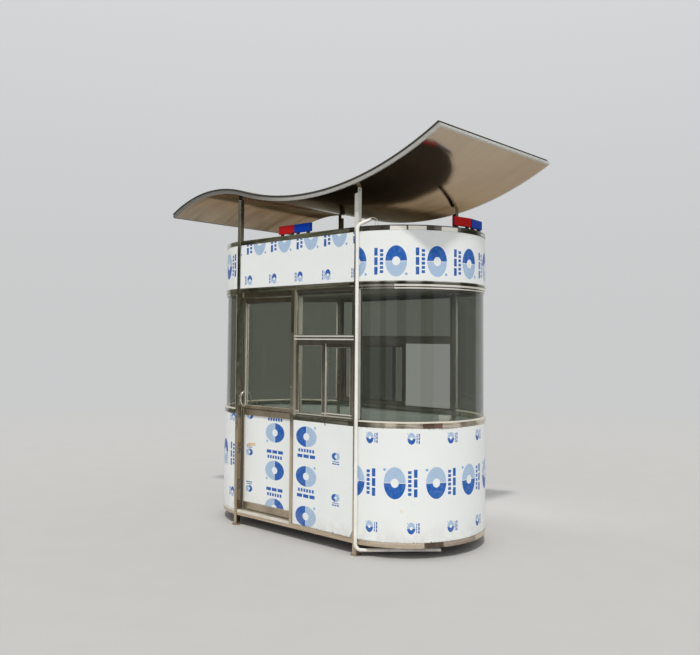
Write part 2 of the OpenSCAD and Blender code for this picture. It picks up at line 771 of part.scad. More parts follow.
// Saddle clips that hold the conduit on the post
module conduit_clips() color("white") in_booth()
    for (k = [0:clips - 1]) translate([pipe_x, pipe_y, clip_z + k * clip_pitch - clip_w / 2]) {
        face = -half_depth - pipe_y;
        difference() {
            union() {
                cylinder(d = conduit_d + 2 * clip_t, h = clip_w);
                translate([-clip_reach, face - 2 * clip_t, 0])
                    cube([clip_reach + post_out - pipe_x, 2 * clip_t, clip_w]);
            }
            translate([0, 0, -over]) cylinder(d = conduit_d + 2 * seat, h = clip_w + 2 * over);
            translate([-clip_reach, face, -over]) cube([2 * clip_reach, conduit_d, clip_w + 2 * over]);
        }
    }

// Route of a wire in the plane of the mouth: out of the pipe, over a bend and down by a drop
function wire_route(side, bend, turn, drop) = [
    [side, -conduit_d],
    for (k = [0:wire_steps]) let (a = 180 - turn * k / wire_steps)
        [side + bend + bend * cos(a), bend * sin(a)],
    [side + bend - bend * cos(turn) + drop * sin(turn), bend * sin(turn) + drop * cos(turn)]
];

// Tube along a route that lies in the xy plane
module tube(route, d) {
    last = len(route) - 1;
    dirs = [for (i = [0:last]) let (v = route[min(i + 1, last)] - route[max(i - 1, 0)]) v / norm(v)];
    rings = [for (i = [0:last], j = [0:wire_sides - 1]) let (a = 360 * j / wire_sides)
        [route[i].x - dirs[i].y * d / 2 * cos(a), route[i].y + dirs[i].x * d / 2 * cos(a), d / 2 * sin(a)]];
    walls = [for (i = [0:last - 1], j = [0:wire_sides - 1]) let (near = i * wire_sides, next = (j + 1) % wire_sides)
        [near + j, near + wire_sides + j, near + wire_sides + next, near + next]];
    caps = [[for (j = [0:wire_sides - 1]) j], [for (j = [wire_sides - 1:-1:0]) last * wire_sides + j]];
    polyhedron(rings, concat(walls, caps));
}

// Two wires that come out of the mouth and run down to the roof deck
module roof_wires() color("white") in_booth() conduit_plane() conduit_end()
    for (k = [0, 1]) {
        bend = k == 0 ? wire_bend : wire_bend / 2;
        side = (conduit_d / 2 - conduit_wall - wire_d / 2 - seat) * (k == 0 ? -1 : 1);
        bend_z = conduit_high + conduit_bend * sin(conduit_turn) + conduit_mouth * cos(conduit_turn)
            - (side + bend) * sin(conduit_turn);
        translate([0, conduit_mouth, 0])
            tube(wire_route(side, bend, 180 - conduit_turn, bend_z - deck_top - seat), wire_d);
    }

module socket_box() color("white") in_booth()
    translate([post_in - socket_side - socket_w, rail_y - panel_set - panel_t - socket_d,
        sill_rail_z - socket_drop - socket_h])
        cube([socket_w, socket_d, socket_h]);

foot_flanges();
front_posts();
back_posts();
bottom_rail();
sill_rail();
head_rail();
top_rail();
floor_plate();
floor_joists();
ceiling_panel();
roof_deck();
fascia_front();
fascia_back();
fascia_left();
fascia_right();
lower_panel_front();
lower_panel_back();
lower_panel_left();
lower_panel_right();
glazing_frames();
end_glass_left();
end_glass_right();
mullion();
front_window_frame();
back_window_frame();
front_sashes();
back_sashes();
upper_panes();
sash_panes();
door_frame();
door_pane();
door_panel();
door_pull();
door_hangers();
door_track();
door_threshold();
canopy_panel();
canopy_edge_trim();
light_bases();
light_lenses_red();
light_lenses_blue();
conduit();
conduit_clips();
roof_wires();
socket_box();
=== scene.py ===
# %% [markdown]
# # Dressing a security guard booth
# The solid model of the booth comes in as a fixed frame: posts, rails, panels, panes, a sliding door
# and a wave-shaped canopy. They could be modelled again here, but then two sets of shapes would drift
# apart. So this lesson only adds what the solids lack: the camera, the light, the finish of every
# surface, and the thin things on them, such as protective film, gaskets, screws and welds.

# %% Load the frame
import math

import bmesh
import bpy
from mathutils import Matrix, Vector, noise


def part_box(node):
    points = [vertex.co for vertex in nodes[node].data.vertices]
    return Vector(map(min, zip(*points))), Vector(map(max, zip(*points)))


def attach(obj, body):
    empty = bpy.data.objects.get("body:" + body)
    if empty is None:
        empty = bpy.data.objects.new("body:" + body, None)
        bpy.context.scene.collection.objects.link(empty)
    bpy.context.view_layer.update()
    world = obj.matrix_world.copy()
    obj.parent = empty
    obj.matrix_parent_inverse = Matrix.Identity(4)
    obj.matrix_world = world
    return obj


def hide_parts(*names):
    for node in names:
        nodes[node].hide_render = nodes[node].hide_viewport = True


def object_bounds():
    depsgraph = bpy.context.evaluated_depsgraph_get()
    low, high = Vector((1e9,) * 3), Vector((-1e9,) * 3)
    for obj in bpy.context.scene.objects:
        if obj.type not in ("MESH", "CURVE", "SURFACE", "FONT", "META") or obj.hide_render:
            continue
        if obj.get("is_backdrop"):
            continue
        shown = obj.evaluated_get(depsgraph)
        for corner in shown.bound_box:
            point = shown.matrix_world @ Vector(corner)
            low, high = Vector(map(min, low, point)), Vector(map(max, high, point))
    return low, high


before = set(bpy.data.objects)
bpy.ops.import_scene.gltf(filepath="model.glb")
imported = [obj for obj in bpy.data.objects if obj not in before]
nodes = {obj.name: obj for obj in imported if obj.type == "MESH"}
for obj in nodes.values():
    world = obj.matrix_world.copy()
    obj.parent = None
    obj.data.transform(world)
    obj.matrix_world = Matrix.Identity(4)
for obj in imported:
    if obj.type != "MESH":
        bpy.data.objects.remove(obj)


def box_as_lists(corners):
    return [[round(float(x), 6) for x in corner] for corner in corners]


cad_box = box_as_lists(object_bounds())
print("loaded", len(nodes), "solids, box", cad_box)

# %% [markdown]
# The camera comes first, because everything is judged through it. It could be placed by eye, but a few
# centimetres show. So its place, direction, tilt and focal length were worked out from the booth's
# straight edges in the photograph. The picture's horizon isn't in the middle row, so a small vertical
# shift puts it where it belongs.

# %% Camera
PICTURE_W = 700
PICTURE_H = 655
EYE = Vector((4.6609, -5.0567, 1.6241))
LEFT_TURN = math.radians(42.466)
LOOK_UP = math.radians(2.717)
ROLL = math.radians(0.435)
FOCAL_PIXELS = 769.47
AXIS_ROW = 303.8
SENSOR = 36.0


def camera_axes():
    level = Vector((math.cos(LEFT_TURN), math.sin(LEFT_TURN), 0))
    forward = Vector((-math.sin(LEFT_TURN), math.cos(LEFT_TURN), 0))
    ahead = forward * math.cos(LOOK_UP) + Vector((0, 0, math.sin(LOOK_UP)))
    plumb = level.cross(ahead)
    right = math.cos(ROLL) * level + math.sin(ROLL) * plumb
    up = math.cos(ROLL) * plumb - math.sin(ROLL) * level
    return right, up, -ahead


def link(thing):
    bpy.context.scene.collection.objects.link(thing)
    return thing


lens = bpy.data.cameras.new("camera")
lens.sensor_fit = "HORIZONTAL"
lens.sensor_width = SENSOR
lens.lens = FOCAL_PIXELS * SENSOR / PICTURE_W
lens.shift_y = (AXIS_ROW - PICTURE_H / 2) / PICTURE_W
camera = link(bpy.data.objects.new("camera", lens))
camera.matrix_world = Matrix.Translation(EYE) @ Matrix(camera_axes()).transposed().to_4x4()
bpy.context.scene.camera = camera
bpy.context.scene.view_settings.view_transform = "Standard"
print("camera", round(lens.lens, 2), "mm")

# %% [markdown]
# Every later step needs the booth's own measures. Numbers could be typed in, but boxes read from the
# frame keep the dressing on the solids. A curved end is part of a circle, and its radius follows from
# the width and depth of its box.

# %% Measures of the booth
post_low, post_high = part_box("front_posts")
mullion_low, mullion_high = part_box("mullion")
end_low, end_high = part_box("lower_panel_right")
POST = 0.038
MID = (mullion_low.x + mullion_high.x) / 2
POST_OUT = (post_high.x - post_low.x) / 2
POST_IN = POST_OUT - POST
POST_FACE = -post_low.y
RAIL_FACE = -mullion_low.y
PANEL_FACE = end_high.y
END_W = end_high.x - end_low.x
END_R = (END_W ** 2 + PANEL_FACE ** 2) / (2 * END_W)
END_X = end_high.x - END_R - MID
BODY_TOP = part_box("top_rail")[1].z
SIDES = (-1, 1)
CORNERS = [(x_side, y_side) for x_side in SIDES for y_side in SIDES]
print("posts out to", round(POST_OUT, 4), "end radius", round(END_R, 4), "end centre", round(END_X, 4))

# %% [markdown]
# Node trees are wordy to build by hand, and long lists of links are hard to read. So a small helper
# gives each kind of node a short word, and a pattern reads like a sum. It works for shader trees and
# for Geometry Nodes, because both share the same maths nodes. Most patterns here are masks: 1 where a
# tone goes and 0 elsewhere.


# %% A helper for node trees
class Graph:
    """Short words for building one node tree. New nodes are laid out in rows of twelve."""

    def __init__(self, tree):
        self.tree = tree

    def node(self, kind, inputs=(), **settings):
        made = self.tree.nodes.new(kind)
        row, column = divmod(len(self.tree.nodes), 12)
        made.location = (170 * column, -220 * row)
        for name, value in settings.items():
            setattr(made, name, value)
        for name, value in dict(inputs).items():
            self.put(made.inputs[name], value)
        return made

    def put(self, socket, value):
        """Link a socket or set its value. A colour is given without its alpha."""
        if isinstance(value, bpy.types.NodeSocket):
            self.tree.links.new(value, socket)
        elif socket.type == "RGBA":
            socket.default_value = (*value, 1)
        else:
            socket.default_value = value

    def feed(self, sockets, **values):
        """Fill several sockets by name; an underscore stands for a space."""
        for name, value in values.items():
            self.put(sockets[name.replace("_", " ")], value)

    def calc(self, operation, *values):
        return self.node("ShaderNodeMath", enumerate(values), operation=operation).outputs[0]

    def chain(self, operation, values):
        result = values[0]
        for value in values[1:]:
            result = self.calc(operation, result, value)
        return result

    def times(self, *values):
        return self.chain("MULTIPLY", values)

    def plus(self, *values):
        return self.chain("ADD", values)

    def most(self, *values):
        return self.chain("MAXIMUM", values)

    def less(self, value, taken):
        return self.calc("SUBTRACT", value, taken)

    def rest(self, mask):
        """What a mask leaves free."""
        return self.calc("SUBTRACT", 1.0, mask)

    def line(self, value, slope, start):
        return self.calc("MULTIPLY_ADD", value, slope, start)

    def over(self, value, limit):
        return self.calc("GREATER_THAN", value, limit)

    def under(self, value, limit):
        return self.calc("LESS_THAN", value, limit)

    def between(self, value, low, high):
        return self.calc("COMPARE", value, (low + high) / 2, (high - low) / 2)

    def bands(self, value, spans):
        """1 where the value lies in one of the spans."""
        return self.most(*[self.between(value, low, high) for low, high in spans])

    def ramp(self, value, low, high):
        """A smooth rise from 0 at low to 1 at high."""
        return self.node("ShaderNodeMapRange", {"Value": value, "From Min": low, "From Max": high},
                         interpolation_type="SMOOTHSTEP").outputs["Result"]

    def fall(self, value, low, high):
        """A smooth fall from 1 at low to 0 at high."""
        return self.rest(self.ramp(value, low, high))

    def vector(self, operation, *values):
        made = self.node("ShaderNodeVectorMath", enumerate(values), operation=operation)
        return made.outputs["Value" if operation in {"LENGTH", "DISTANCE", "DOT_PRODUCT"} else "Vector"]

    def stretch(self, vector, factors):
        return self.vector("MULTIPLY", vector, factors)

    def mix(self, factor, a, b, blend="MIX"):
        made = self.node("ShaderNodeMix", {0: factor, 6: a, 7: b}, data_type="RGBA", blend_type=blend)
        return made.outputs[2]

    def tint(self, factor, a, b):
        return self.mix(factor, a, b, "MULTIPLY")

    def shade(self, factor, colour, low, high):
        """Vary a colour's brightness between low and high."""
        return self.tint(1.0, colour, self.mix(factor, (low,) * 3, (high,) * 3))

    def noise(self, vector, scale, detail=3.0, rough=0.5, warp=0.0):
        return self.node("ShaderNodeTexNoise", {"Vector": vector, "Scale": scale, "Detail": detail,
                                                "Roughness": rough, "Distortion": warp}).outputs["Fac"]

    def grain(self, vector, factors, detail=2.0, rough=0.5, warp=0.0):
        """Noise that is stretched by factors along the three axes."""
        return self.noise(self.stretch(vector, factors), 1.0, detail, rough, warp)

    def split(self, vector):
        return self.node("ShaderNodeSeparateXYZ", {0: vector}).outputs

    def join(self, x, y, z):
        return self.node("ShaderNodeCombineXYZ", {0: x, 1: y, 2: z}).outputs[0]

    def facing(self):
        return self.node("ShaderNodeNewGeometry").outputs["Normal"]


print("node helper with", len([word for word in vars(Graph) if not word.startswith("_")]), "words")

# %% Groups with named inputs and outputs
NUMBER = "NodeSocketFloat"
ARROW = "NodeSocketVector"
COLOUR = "NodeSocketColor"
SHAPE = "NodeSocketGeometry"
COUNT = "NodeSocketInt"
SKIN = "NodeSocketMaterial"


def new_group(name, kind, inputs, outputs):
    tree = bpy.data.node_groups.new(name, kind)
    for label, socket_type, value in inputs:
        socket = tree.interface.new_socket(label, in_out="INPUT", socket_type=socket_type)
        if value is not None:
            socket.default_value = value
    for label, socket_type in outputs:
        tree.interface.new_socket(label, in_out="OUTPUT", socket_type=socket_type)
    graph = Graph(tree)
    return graph, graph.node("NodeGroupInput").outputs, graph.node("NodeGroupOutput").inputs


def new_material(name):
    made = bpy.data.materials.new(name)
    made.use_nodes = True
    made.node_tree.nodes.clear()
    graph = Graph(made.node_tree)
    return made, graph, graph.node("ShaderNodeTexCoord").outputs["Object"]


print("socket types", NUMBER, ARROW, COLOUR, SHAPE, COUNT, SKIN)

# %% [markdown]
# The studio is plain: a pale floor that fades into a pale room, one soft lamp from the right and the
# daylight of the room itself. A curved backdrop would do too, but it would show an edge from some
# sides. Here the floor's far part takes the room's colour, so that no horizon line shows from anywhere.

# %% Room
ROOM_LOW = (0.74, 0.745, 0.75)
ROOM_HIGH = (0.90, 0.92, 0.94)
ROOM_STRENGTH = 0.80

world = bpy.data.worlds.new("studio")
world.use_nodes = True
world.node_tree.nodes.clear()
room = Graph(world.node_tree)
upward = room.split(room.node("ShaderNodeTexCoord").outputs["Generated"])[2]
walls = room.mix(room.ramp(upward, 0.0, 0.75), ROOM_LOW, ROOM_HIGH)
background = room.node("ShaderNodeBackground", {"Color": walls, "Strength": ROOM_STRENGTH})
room.node("ShaderNodeOutputWorld", {"Surface": background.outputs[0]})
bpy.context.scene.world = world
print("room strength", ROOM_STRENGTH)

# %% Floor
FLOOR_COLOUR = (0.50, 0.495, 0.485)
FLOOR_R = 40.0
FLOOR_CORNERS = 48
FADE_FROM = 5.0
FADE_TO = 16.0


def floor_material():
    made, graph, place = new_material("studio_floor")
    colour = graph.shade(graph.noise(place, 3.0, 6.0), FLOOR_COLOUR, 0.97, 1.03)
    near = graph.node("ShaderNodeBsdfDiffuse", {"Color": colour}).outputs[0]
    far = graph.node("ShaderNodeEmission", {"Color": ROOM_LOW, "Strength": ROOM_STRENGTH}).outputs[0]
    fade = graph.ramp(graph.vector("LENGTH", place), FADE_FROM, FADE_TO)
    faded = graph.node("ShaderNodeMixShader", {0: fade, 1: near, 2: far}).outputs[0]
    graph.node("ShaderNodeOutputMaterial", {"Surface": faded})
    return made


def mesh_object(name, verts, faces, finish):
    mesh = bpy.data.meshes.new(name)
    mesh.from_pydata([tuple(v) for v in verts], [], faces)
    mesh.update()
    mesh.materials.append(finish)
    return link(bpy.data.objects.new(name, mesh))


def on_circle(radius, turn, height):
    return Vector((radius * math.cos(turn), radius * math.sin(turn), height))


rim = [on_circle(FLOOR_R, 2 * math.pi * k / FLOOR_CORNERS, 0) for k in range(FLOOR_CORNERS)]
floor = mesh_object("floor", rim, [list(range(FLOOR_CORNERS))], floor_material())
floor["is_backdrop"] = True
print("floor", FLOOR_R, "m, fades from", FADE_FROM, "to", FADE_TO)

# %% [markdown]
# One soft lamp, high on the front right, gives the shadow on the floor and the bright side of the round
# end. The room inside gets its daylight through tinted glass, which keeps most of it out, so a weak
# lamp under the ceiling stands in for it. More light on the whole booth would do that too, but it would
# bleach the white film.

# %% Lamps
SUN_FROM = Vector((0.34, -0.425, 0.84))
FILL_SIZE = (1.6, 0.8)
FILL_Z = 2.03


def lamp(name, kind, energy):
    light = bpy.data.lights.new(name, kind)
    light.energy = energy
    return link(bpy.data.objects.new(name, light))


sun = lamp("sun", "SUN", 1.95)
sun.data.angle = math.radians(3)
sun.data.color = (1.0, 0.97, 0.92)
sun.rotation_euler = (-SUN_FROM).to_track_quat("-Z", "Y").to_euler()

fill = lamp("fill", "AREA", 50)
fill.data.shape = "RECTANGLE"
fill.data.size, fill.data.size_y = FILL_SIZE
fill.location = (0, 0, FILL_Z)
fill.visible_glossy = False
fill.visible_camera = False
fill.visible_transmission = False
print("lamps", sun.name, round(sun.data.energy, 2), fill.name, round(fill.data.energy, 2))

# %% [markdown]
# Polished steel looks like nothing in an empty room, because it only shows what stands round it. A
# picture of a place could be wrapped round the scene, but photographers hang dark cloth round such
# things, just out of the picture, and that is simpler. A broad cloth hangs to the left of the front and
# narrow ones stand to the right. Only mirrored rays meet them, so they neither show nor take light
# away.

# %% Dark cloths for the steel to mirror
CLOTH_R = 9.0
HEM_SWING = 1.1
CLOTHS = (
    (182, 268, 5.2), (282, 290, 3.6), (304, 316, 4.4), (334, 350, 3.8), (28, 66, 5.0), (108, 150, 3.4))


def cloth_material():
    made, graph, place = new_material("studio_cloth")
    fold = graph.ramp(graph.grain(place, (0.55, 0.55, 0.22), 4.0, 0.6), 0.36, 0.66)
    tone = graph.mix(fold, (0.05, 0.052, 0.037), (0.215, 0.215, 0.175))
    glow = graph.node("ShaderNodeEmission", {"Color": tone}).outputs[0]
    graph.node("ShaderNodeOutputMaterial", {"Surface": glow})
    return made


def hang_cloths():
    """Points and faces of all cloths; each has its first and last turn in degrees and its height."""
    verts, faces = [], []
    for first, last, tall in CLOTHS:
        steps = max(4, (last - first) // 2)
        for k in range(steps + 1):
            foot = on_circle(CLOTH_R, math.radians(first + (last - first) * k / steps), 0.02)
            hem = tall + HEM_SWING * noise.noise(foot * 0.9)
            verts += [foot, foot + Vector((0, 0, hem))]
            if k:
                n = len(verts)
                faces.append((n - 4, n - 2, n - 1, n - 3))
    return verts, faces


cloth = mesh_object("cloth", *hang_cloths(), cloth_material())
cloth.visible_camera = False
cloth.visible_diffuse = False
cloth.visible_transmission = False
cloth.visible_shadow = False
cloth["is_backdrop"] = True
print("studio ready,", len(CLOTHS), "cloths")

# %% [markdown]
# Polished steel shows its surroundings as long streaks that follow the tube. The studio is too even to
# give them, and streaks painted on a picture would need a map for every tube. So they are painted
# reflections in the finish: noise that is stretched along the tube picks between a dark and a light
# tone. Posts and rails share this as one node group, each with its own stretch and tones.


# %% Shared effect: painted reflection streaks on polished tube
def build_tube_shine():
    graph, given, out = new_group(
        "tube_shine", "ShaderNodeTree",
        [("Position", ARROW, None), ("Stretch", ARROW, (9, 9, 0.8)),
         ("Dark", COLOUR, (0.06, 0.055, 0.04, 1)), ("Light", COLOUR, (0.5, 0.45, 0.36, 1)),
         ("Light share", NUMBER, 0.5)],
        [("Colour", COLOUR), ("Roughness", NUMBER), ("Height", NUMBER)])
    along = graph.stretch(given["Position"], given["Stretch"])
    streak = graph.noise(along, 1.0, 4.0, 0.62, 0.5)
    fine = graph.grain(along, (17, 17, 17))
    lean = graph.line(given["Light share"], 0.55, -0.275)
    tone = graph.ramp(graph.plus(streak, lean), 0.40, 0.60)
    colour = graph.mix(tone, given["Dark"], given["Light"])
    smudge = graph.ramp(graph.noise(given["Position"], 8.0, 5.0), 0.48, 0.72)
    graph.feed(out, Colour=graph.shade(fine, colour, 0.88, 1.1),
               Roughness=graph.line(smudge, 0.16, 0.13),
               Height=graph.line(fine, 0.7, graph.times(smudge, 0.3)))
    return graph.tree


TUBE_SHINE = build_tube_shine()
print("shared effect", TUBE_SHINE.name)

# %% [markdown]
# Dust gathers low down, where rain splashes it up, and on ledges that look up. It could be painted by
# hand, but height and the way a face looks say well enough where it lies. Every finish uses this group,
# with its own reach and amount.


# %% Shared effect: ground dust
def build_dust():
    graph, given, out = new_group(
        "ground_dust", "ShaderNodeTree",
        [("Position", ARROW, None), ("Reach", NUMBER, 0.35), ("Amount", NUMBER, 0.5)], [("Mask", NUMBER)])
    low = graph.fall(graph.split(given["Position"])[2], 0.03, given["Reach"])
    ledge = graph.ramp(graph.split(graph.facing())[2], 0.6, 0.95)
    patch = graph.ramp(graph.noise(given["Position"], 11.0, 6.0, 0.65), 0.36, 0.66)
    cover = graph.most(low, graph.times(ledge, 0.8))
    graph.feed(out, Mask=graph.times(cover, patch, given["Amount"]))
    return graph.tree


DUST = build_dust()
DUST_COLOUR = (0.42, 0.36, 0.29)
print("shared effect", DUST.name)

# %% [markdown]
# A finish is a Principled shader plus what varies over the surface. Each could be built from nothing,
# but they all start alike, so a helper does that. It gives the object's own coordinates, because with
# them a pattern keeps its real size on every solid.


# %% Starting a finish
def start_finish(name):
    made, graph, place = new_material(name)
    skin = graph.node("ShaderNodeBsdfPrincipled")
    graph.node("ShaderNodeOutputMaterial", {"Surface": skin.outputs[0]})
    return made, graph, skin.inputs, place


def use(graph, tree, **inputs):
    made = graph.node("ShaderNodeGroup", node_tree=tree)
    graph.feed(made.inputs, **inputs)
    return made.outputs


def bump(graph, height, strength, distance):
    made = graph.node("ShaderNodeBump", {"Height": height, "Strength": strength, "Distance": distance})
    return made.outputs[0]


def dusted(graph, place, colour, reach, amount):
    dust = use(graph, DUST, Position=place, Reach=reach, Amount=amount)["Mask"]
    return graph.mix(dust, colour, DUST_COLOUR), dust


def dress(skin, *names):
    for name in names:
        for slot in nodes[name].material_slots:
            slot.material = skin
    print(skin.name, "on", ", ".join(names))


finish_words = (start_finish, use, bump, dusted, dress)
print("words for finishes:", ", ".join(word.__name__ for word in finish_words))

# %% [markdown]
# The posts and the mullion are square stainless tube, polished along its length. Their streaks are
# painted reflections, narrow and long, and low down their light tone is warmer, a painted reflection of
# the ground. Each corner of the booth mirrors something else, so masks by position paint each its own
# tone: a painted highlight on the front right tab, which is also less metallic, painted shade on the back
# left tab and low on the left posts' inner faces, and painted reflections of their own on the front left
# tab and the mullion's middle. Four finishes would do as well, but the posts are one piece with one slot.

# %% Finish: upright tubes
POST_TOP = (2.38, 2.52)
GROUND_REFLECTION_Z = (0.45, 1.2)
MULLION_LIT = (1.02, 1.68)


def upright_zones(graph, x, y, z):
    """Masks of painted light: a highlight on the front right tab, shade on the back left tab, and
    reflections on the front left tab and the mullion's middle.
    """
    top = graph.ramp(z, *POST_TOP)
    lit_tab = graph.times(top, graph.over(x, 0.5), graph.under(y, 0.0))
    back_left = graph.times(top, graph.under(x, -0.5), graph.over(y, 0.0))
    front_left = graph.times(top, graph.under(x, -0.5), graph.under(y, 0.0))
    middle = graph.times(graph.between(x, MID - 0.03, MID + 0.03), graph.between(z, *MULLION_LIT))
    return lit_tab, back_left, front_left, middle


def upright_steel():
    made, graph, skin, place = start_finish("polished_upright")
    x, y, z = graph.split(place)
    # Painted reflection of the ground: low down the streaks' light tone is warmer.
    light = graph.mix(graph.fall(z, *GROUND_REFLECTION_Z), (0.64, 0.62, 0.53), (0.72, 0.58, 0.42))
    shine = use(graph, TUBE_SHINE, Position=place, Stretch=(26, 26, 1.1), Dark=(0.34, 0.30, 0.225),
                Light=light, Light_share=0.5)
    lit_tab, back_left, front_left, middle = upright_zones(graph, x, y, z)
    # Painted light by position: a highlight on the front right tab, shade on the back left tab, and
    # reflections on the front left tab and the mullion's middle.
    colour = graph.mix(lit_tab, shine["Colour"], (0.78, 0.77, 0.71))
    colour = graph.mix(back_left, colour, (0.14, 0.125, 0.105))
    colour = graph.mix(graph.times(front_left, 0.4), colour, (0.56, 0.52, 0.42))
    colour = graph.mix(graph.times(middle, 0.4), colour, (0.46, 0.44, 0.37))
    # Painted shade: low down the left posts' inner faces are darker and warmer, where they would mirror
    # the white film.
    inner_face = graph.between(x, MID - POST_IN - 0.002, MID - POST_IN + 0.002)
    colour = graph.tint(graph.times(inner_face, graph.fall(z, 0.9, 1.1)), colour, (0.58, 0.48, 0.38))
    colour, dust = dusted(graph, place, colour, 0.30, 0.55)
    blank = graph.most(
        dust, graph.times(lit_tab, 0.75), graph.times(front_left, 0.16), graph.times(middle, 0.14))
    graph.feed(skin, Base_Color=colour, Metallic=graph.rest(blank),
               Roughness=graph.line(blank, 0.4, shine["Roughness"]),
               Normal=bump(graph, shine["Height"], 0.12, 0.0006))
    return made


dress(upright_steel(), "front_posts", "back_posts", "mullion", "foot_flanges")

# %% [markdown]
# The door pull is chromed, the brightest metal on the booth, and worn where hands take it. Wear could
# be laid where the grip is, but on so small a piece an even scatter of it looks the same.


# %% Finish: chrome pull
def chrome_pull():
    made, graph, skin, place = start_finish("chrome_pull")
    wear = graph.ramp(graph.noise(place, 45.0, 4.0, 0.6), 0.50, 0.72)
    graph.feed(skin, Base_Color=graph.mix(wear, (0.98, 0.97, 0.94), (0.74, 0.69, 0.60)), Metallic=1.0,
               Roughness=graph.line(wear, 0.18, 0.05), Normal=bump(graph, wear, 0.05, 0.0004))
    return made


dress(chrome_pull(), "door_pull")

# %% [markdown]
# The rails are the same tube laid flat and rolled round the ends. On the right end each rail mirrors
# its surroundings in blocks: a bright block, then a dark one, with sharp edges. Real things round the
# booth could throw such blocks, but each would have to be placed by trial. Masks by height and by the
# turn round the end paint them on the rail itself, as painted highlights and dark painted reflections,
# where they also stay when the booth is used in another scene.

# %% Painted reflection blocks on the round end
ARC_X = MID + END_X
CROWN_Z = (BODY_TOP - 0.05, BODY_TOP - 0.008)
CROWN_TURN = (-90, 14)
LIT_TURNS = ((-60.0, -49.4), (-48.3, -36.5), (-26.1, -13.7))
LOW_TOP = 0.14
LOW_DARK_BLOCK_TURN = (-37.4, -24.3)
LOW_GREY_TURN = (-24.3, 5)
HEAD_Z = (2.010, 2.070)
HEAD_LINES_Z = ((2.0355, 2.0505), (2.013, 2.0265))
HEAD_LIT_TURN = (-57, 90)
WAIST_Z = (0.965, 1.0076)
WAIST_DARK_TURN = (-76, -60)
WAIST_DIM_BLOCK_TURN = (-38.5, -25.2)


def arc_zones(graph, x, y, z):
    """Masks of painted reflection blocks on the right round end. A turn of -90 degrees is its front, 0
    its far right.
    """
    turn = graph.calc("DEGREES", graph.calc("ARCTAN2", y, graph.less(x, ARC_X)))
    arc = graph.over(x, ARC_X)
    crown = graph.times(arc, graph.between(turn, *CROWN_TURN), graph.over(z, CROWN_Z[0]))
    low = graph.times(arc, graph.under(z, LOW_TOP))
    head = graph.times(arc, graph.between(z, *HEAD_Z))
    waist = graph.times(arc, graph.between(z, *WAIST_Z))
    head_share = graph.line(graph.between(turn, *HEAD_LIT_TURN), 0.65, 0.35)
    return {
        "crown": crown,
        "crown_lit": graph.times(crown, graph.bands(turn, LIT_TURNS), graph.under(z, CROWN_Z[1])),
        "low_dark_block": graph.times(low, graph.between(turn, *LOW_DARK_BLOCK_TURN)),
        "low_grey": graph.times(low, graph.between(turn, *LOW_GREY_TURN)),
        "head": head,
        "head_lit": graph.times(head, graph.bands(z, HEAD_LINES_Z), head_share),
        "waist_dark": graph.times(waist, graph.fall(turn, *WAIST_DARK_TURN)),
        "waist_dim_block": graph.times(waist, graph.between(turn, *WAIST_DIM_BLOCK_TURN)),
    }


print("lit blocks at", LIT_TURNS, "degrees round the end")

# %% Narrow painted highlights and painted shade on edges
SILL_BEAD_Z = (1.0077, 1.0193)
SILL_Z = (0.967, 1.0076)
DOOR_LIP_Z = (0.1135, 0.127)
STILE_Z = (1.03, 2.02)
STILE_OUT = (POST_OUT - 0.001, POST_OUT + 0.020)


def edge_zones(graph, x, z):
    """Masks of painted light: a highlight on the bead on the sill and the lip under the door, painted
    shade on the sill's face, and a highlight on the glazing stiles.
    """
    lip = graph.times(graph.under(x, mullion_low.x), graph.between(z, *DOOR_LIP_Z))
    away = graph.calc("ABSOLUTE", graph.less(x, MID))
    return {
        "bead": graph.most(graph.between(z, *SILL_BEAD_Z), lip),
        "sill": graph.times(graph.under(x, ARC_X), graph.between(z, *SILL_Z)),
        "stile": graph.times(graph.between(z, *STILE_Z), graph.between(away, *STILE_OUT)),
    }


print("sill bead at", SILL_BEAD_Z)

# %% Tones of the rails' painted reflection streaks
RAIL_DARK = ((0.27, 0.26, 0.19), (0.48, 0.43, 0.34), (0.62, 0.60, 0.49),
             (0.58, 0.46, 0.34), (0.70, 0.58, 0.44), (0.09, 0.09, 0.065))
RAIL_LIGHT = ((0.66, 0.64, 0.53), (0.84, 0.75, 0.61), (0.92, 0.90, 0.78),
              (0.76, 0.62, 0.46), (0.92, 0.80, 0.64), (0.96, 0.93, 0.83))


def rail_tones(graph, x, z):
    """The dark and the light tone of the painted reflection streaks, which change from rail to rail:
    warmer and lighter low down, where the rails mirror the ground.
    """
    ground = graph.fall(z, 0.2, 0.7)
    round_end = graph.ramp(x, 0.72, 0.95)
    waist = graph.times(round_end, graph.fall(z, 1.05, 1.2))
    crown = graph.times(round_end, graph.ramp(z, 2.36, 2.44))
    brow = graph.times(round_end, graph.between(z, 2.026, 2.086))
    tones = []
    for plain, at_waist, at_brow, low_left, low_right, at_crown in (RAIL_DARK, RAIL_LIGHT):
        tone = graph.mix(brow, graph.mix(waist, plain, at_waist), at_brow)
        tone = graph.mix(ground, tone, graph.mix(round_end, low_left, low_right))
        tones.append(graph.mix(crown, tone, at_crown))
    return tones


print("each rail tone has", len(RAIL_DARK), "values, from plain to crown")

# %% Finish: rails
# Painted light laid over the rail streaks: the dark tones are painted shade and dark reflections, the
# bright ones painted highlights.
RAIL_LAYERS = (
    ("crown", 0.8, (0.058, 0.052, 0.045)), ("crown_lit", 1.0, (0.95, 0.92, 0.83)),
    ("low_dark_block", 0.88, (0.05, 0.026, 0.022)), ("head", 0.85, (0.055, 0.050, 0.038)),
    ("head_lit", 1.0, (0.93, 0.90, 0.82)), ("waist_dark", 0.8, (0.075, 0.065, 0.042)),
    ("waist_dim_block", 0.8, (0.16, 0.065, 0.048)), ("bead", 1.0, (0.88, 0.83, 0.74)),
    ("stile", 1.0, (0.74, 0.73, 0.67)))
RAIL_BLANKS = (("bead", 0.6), ("crown_lit", 0.5), ("stile", 0.45), ("head_lit", 0.45))


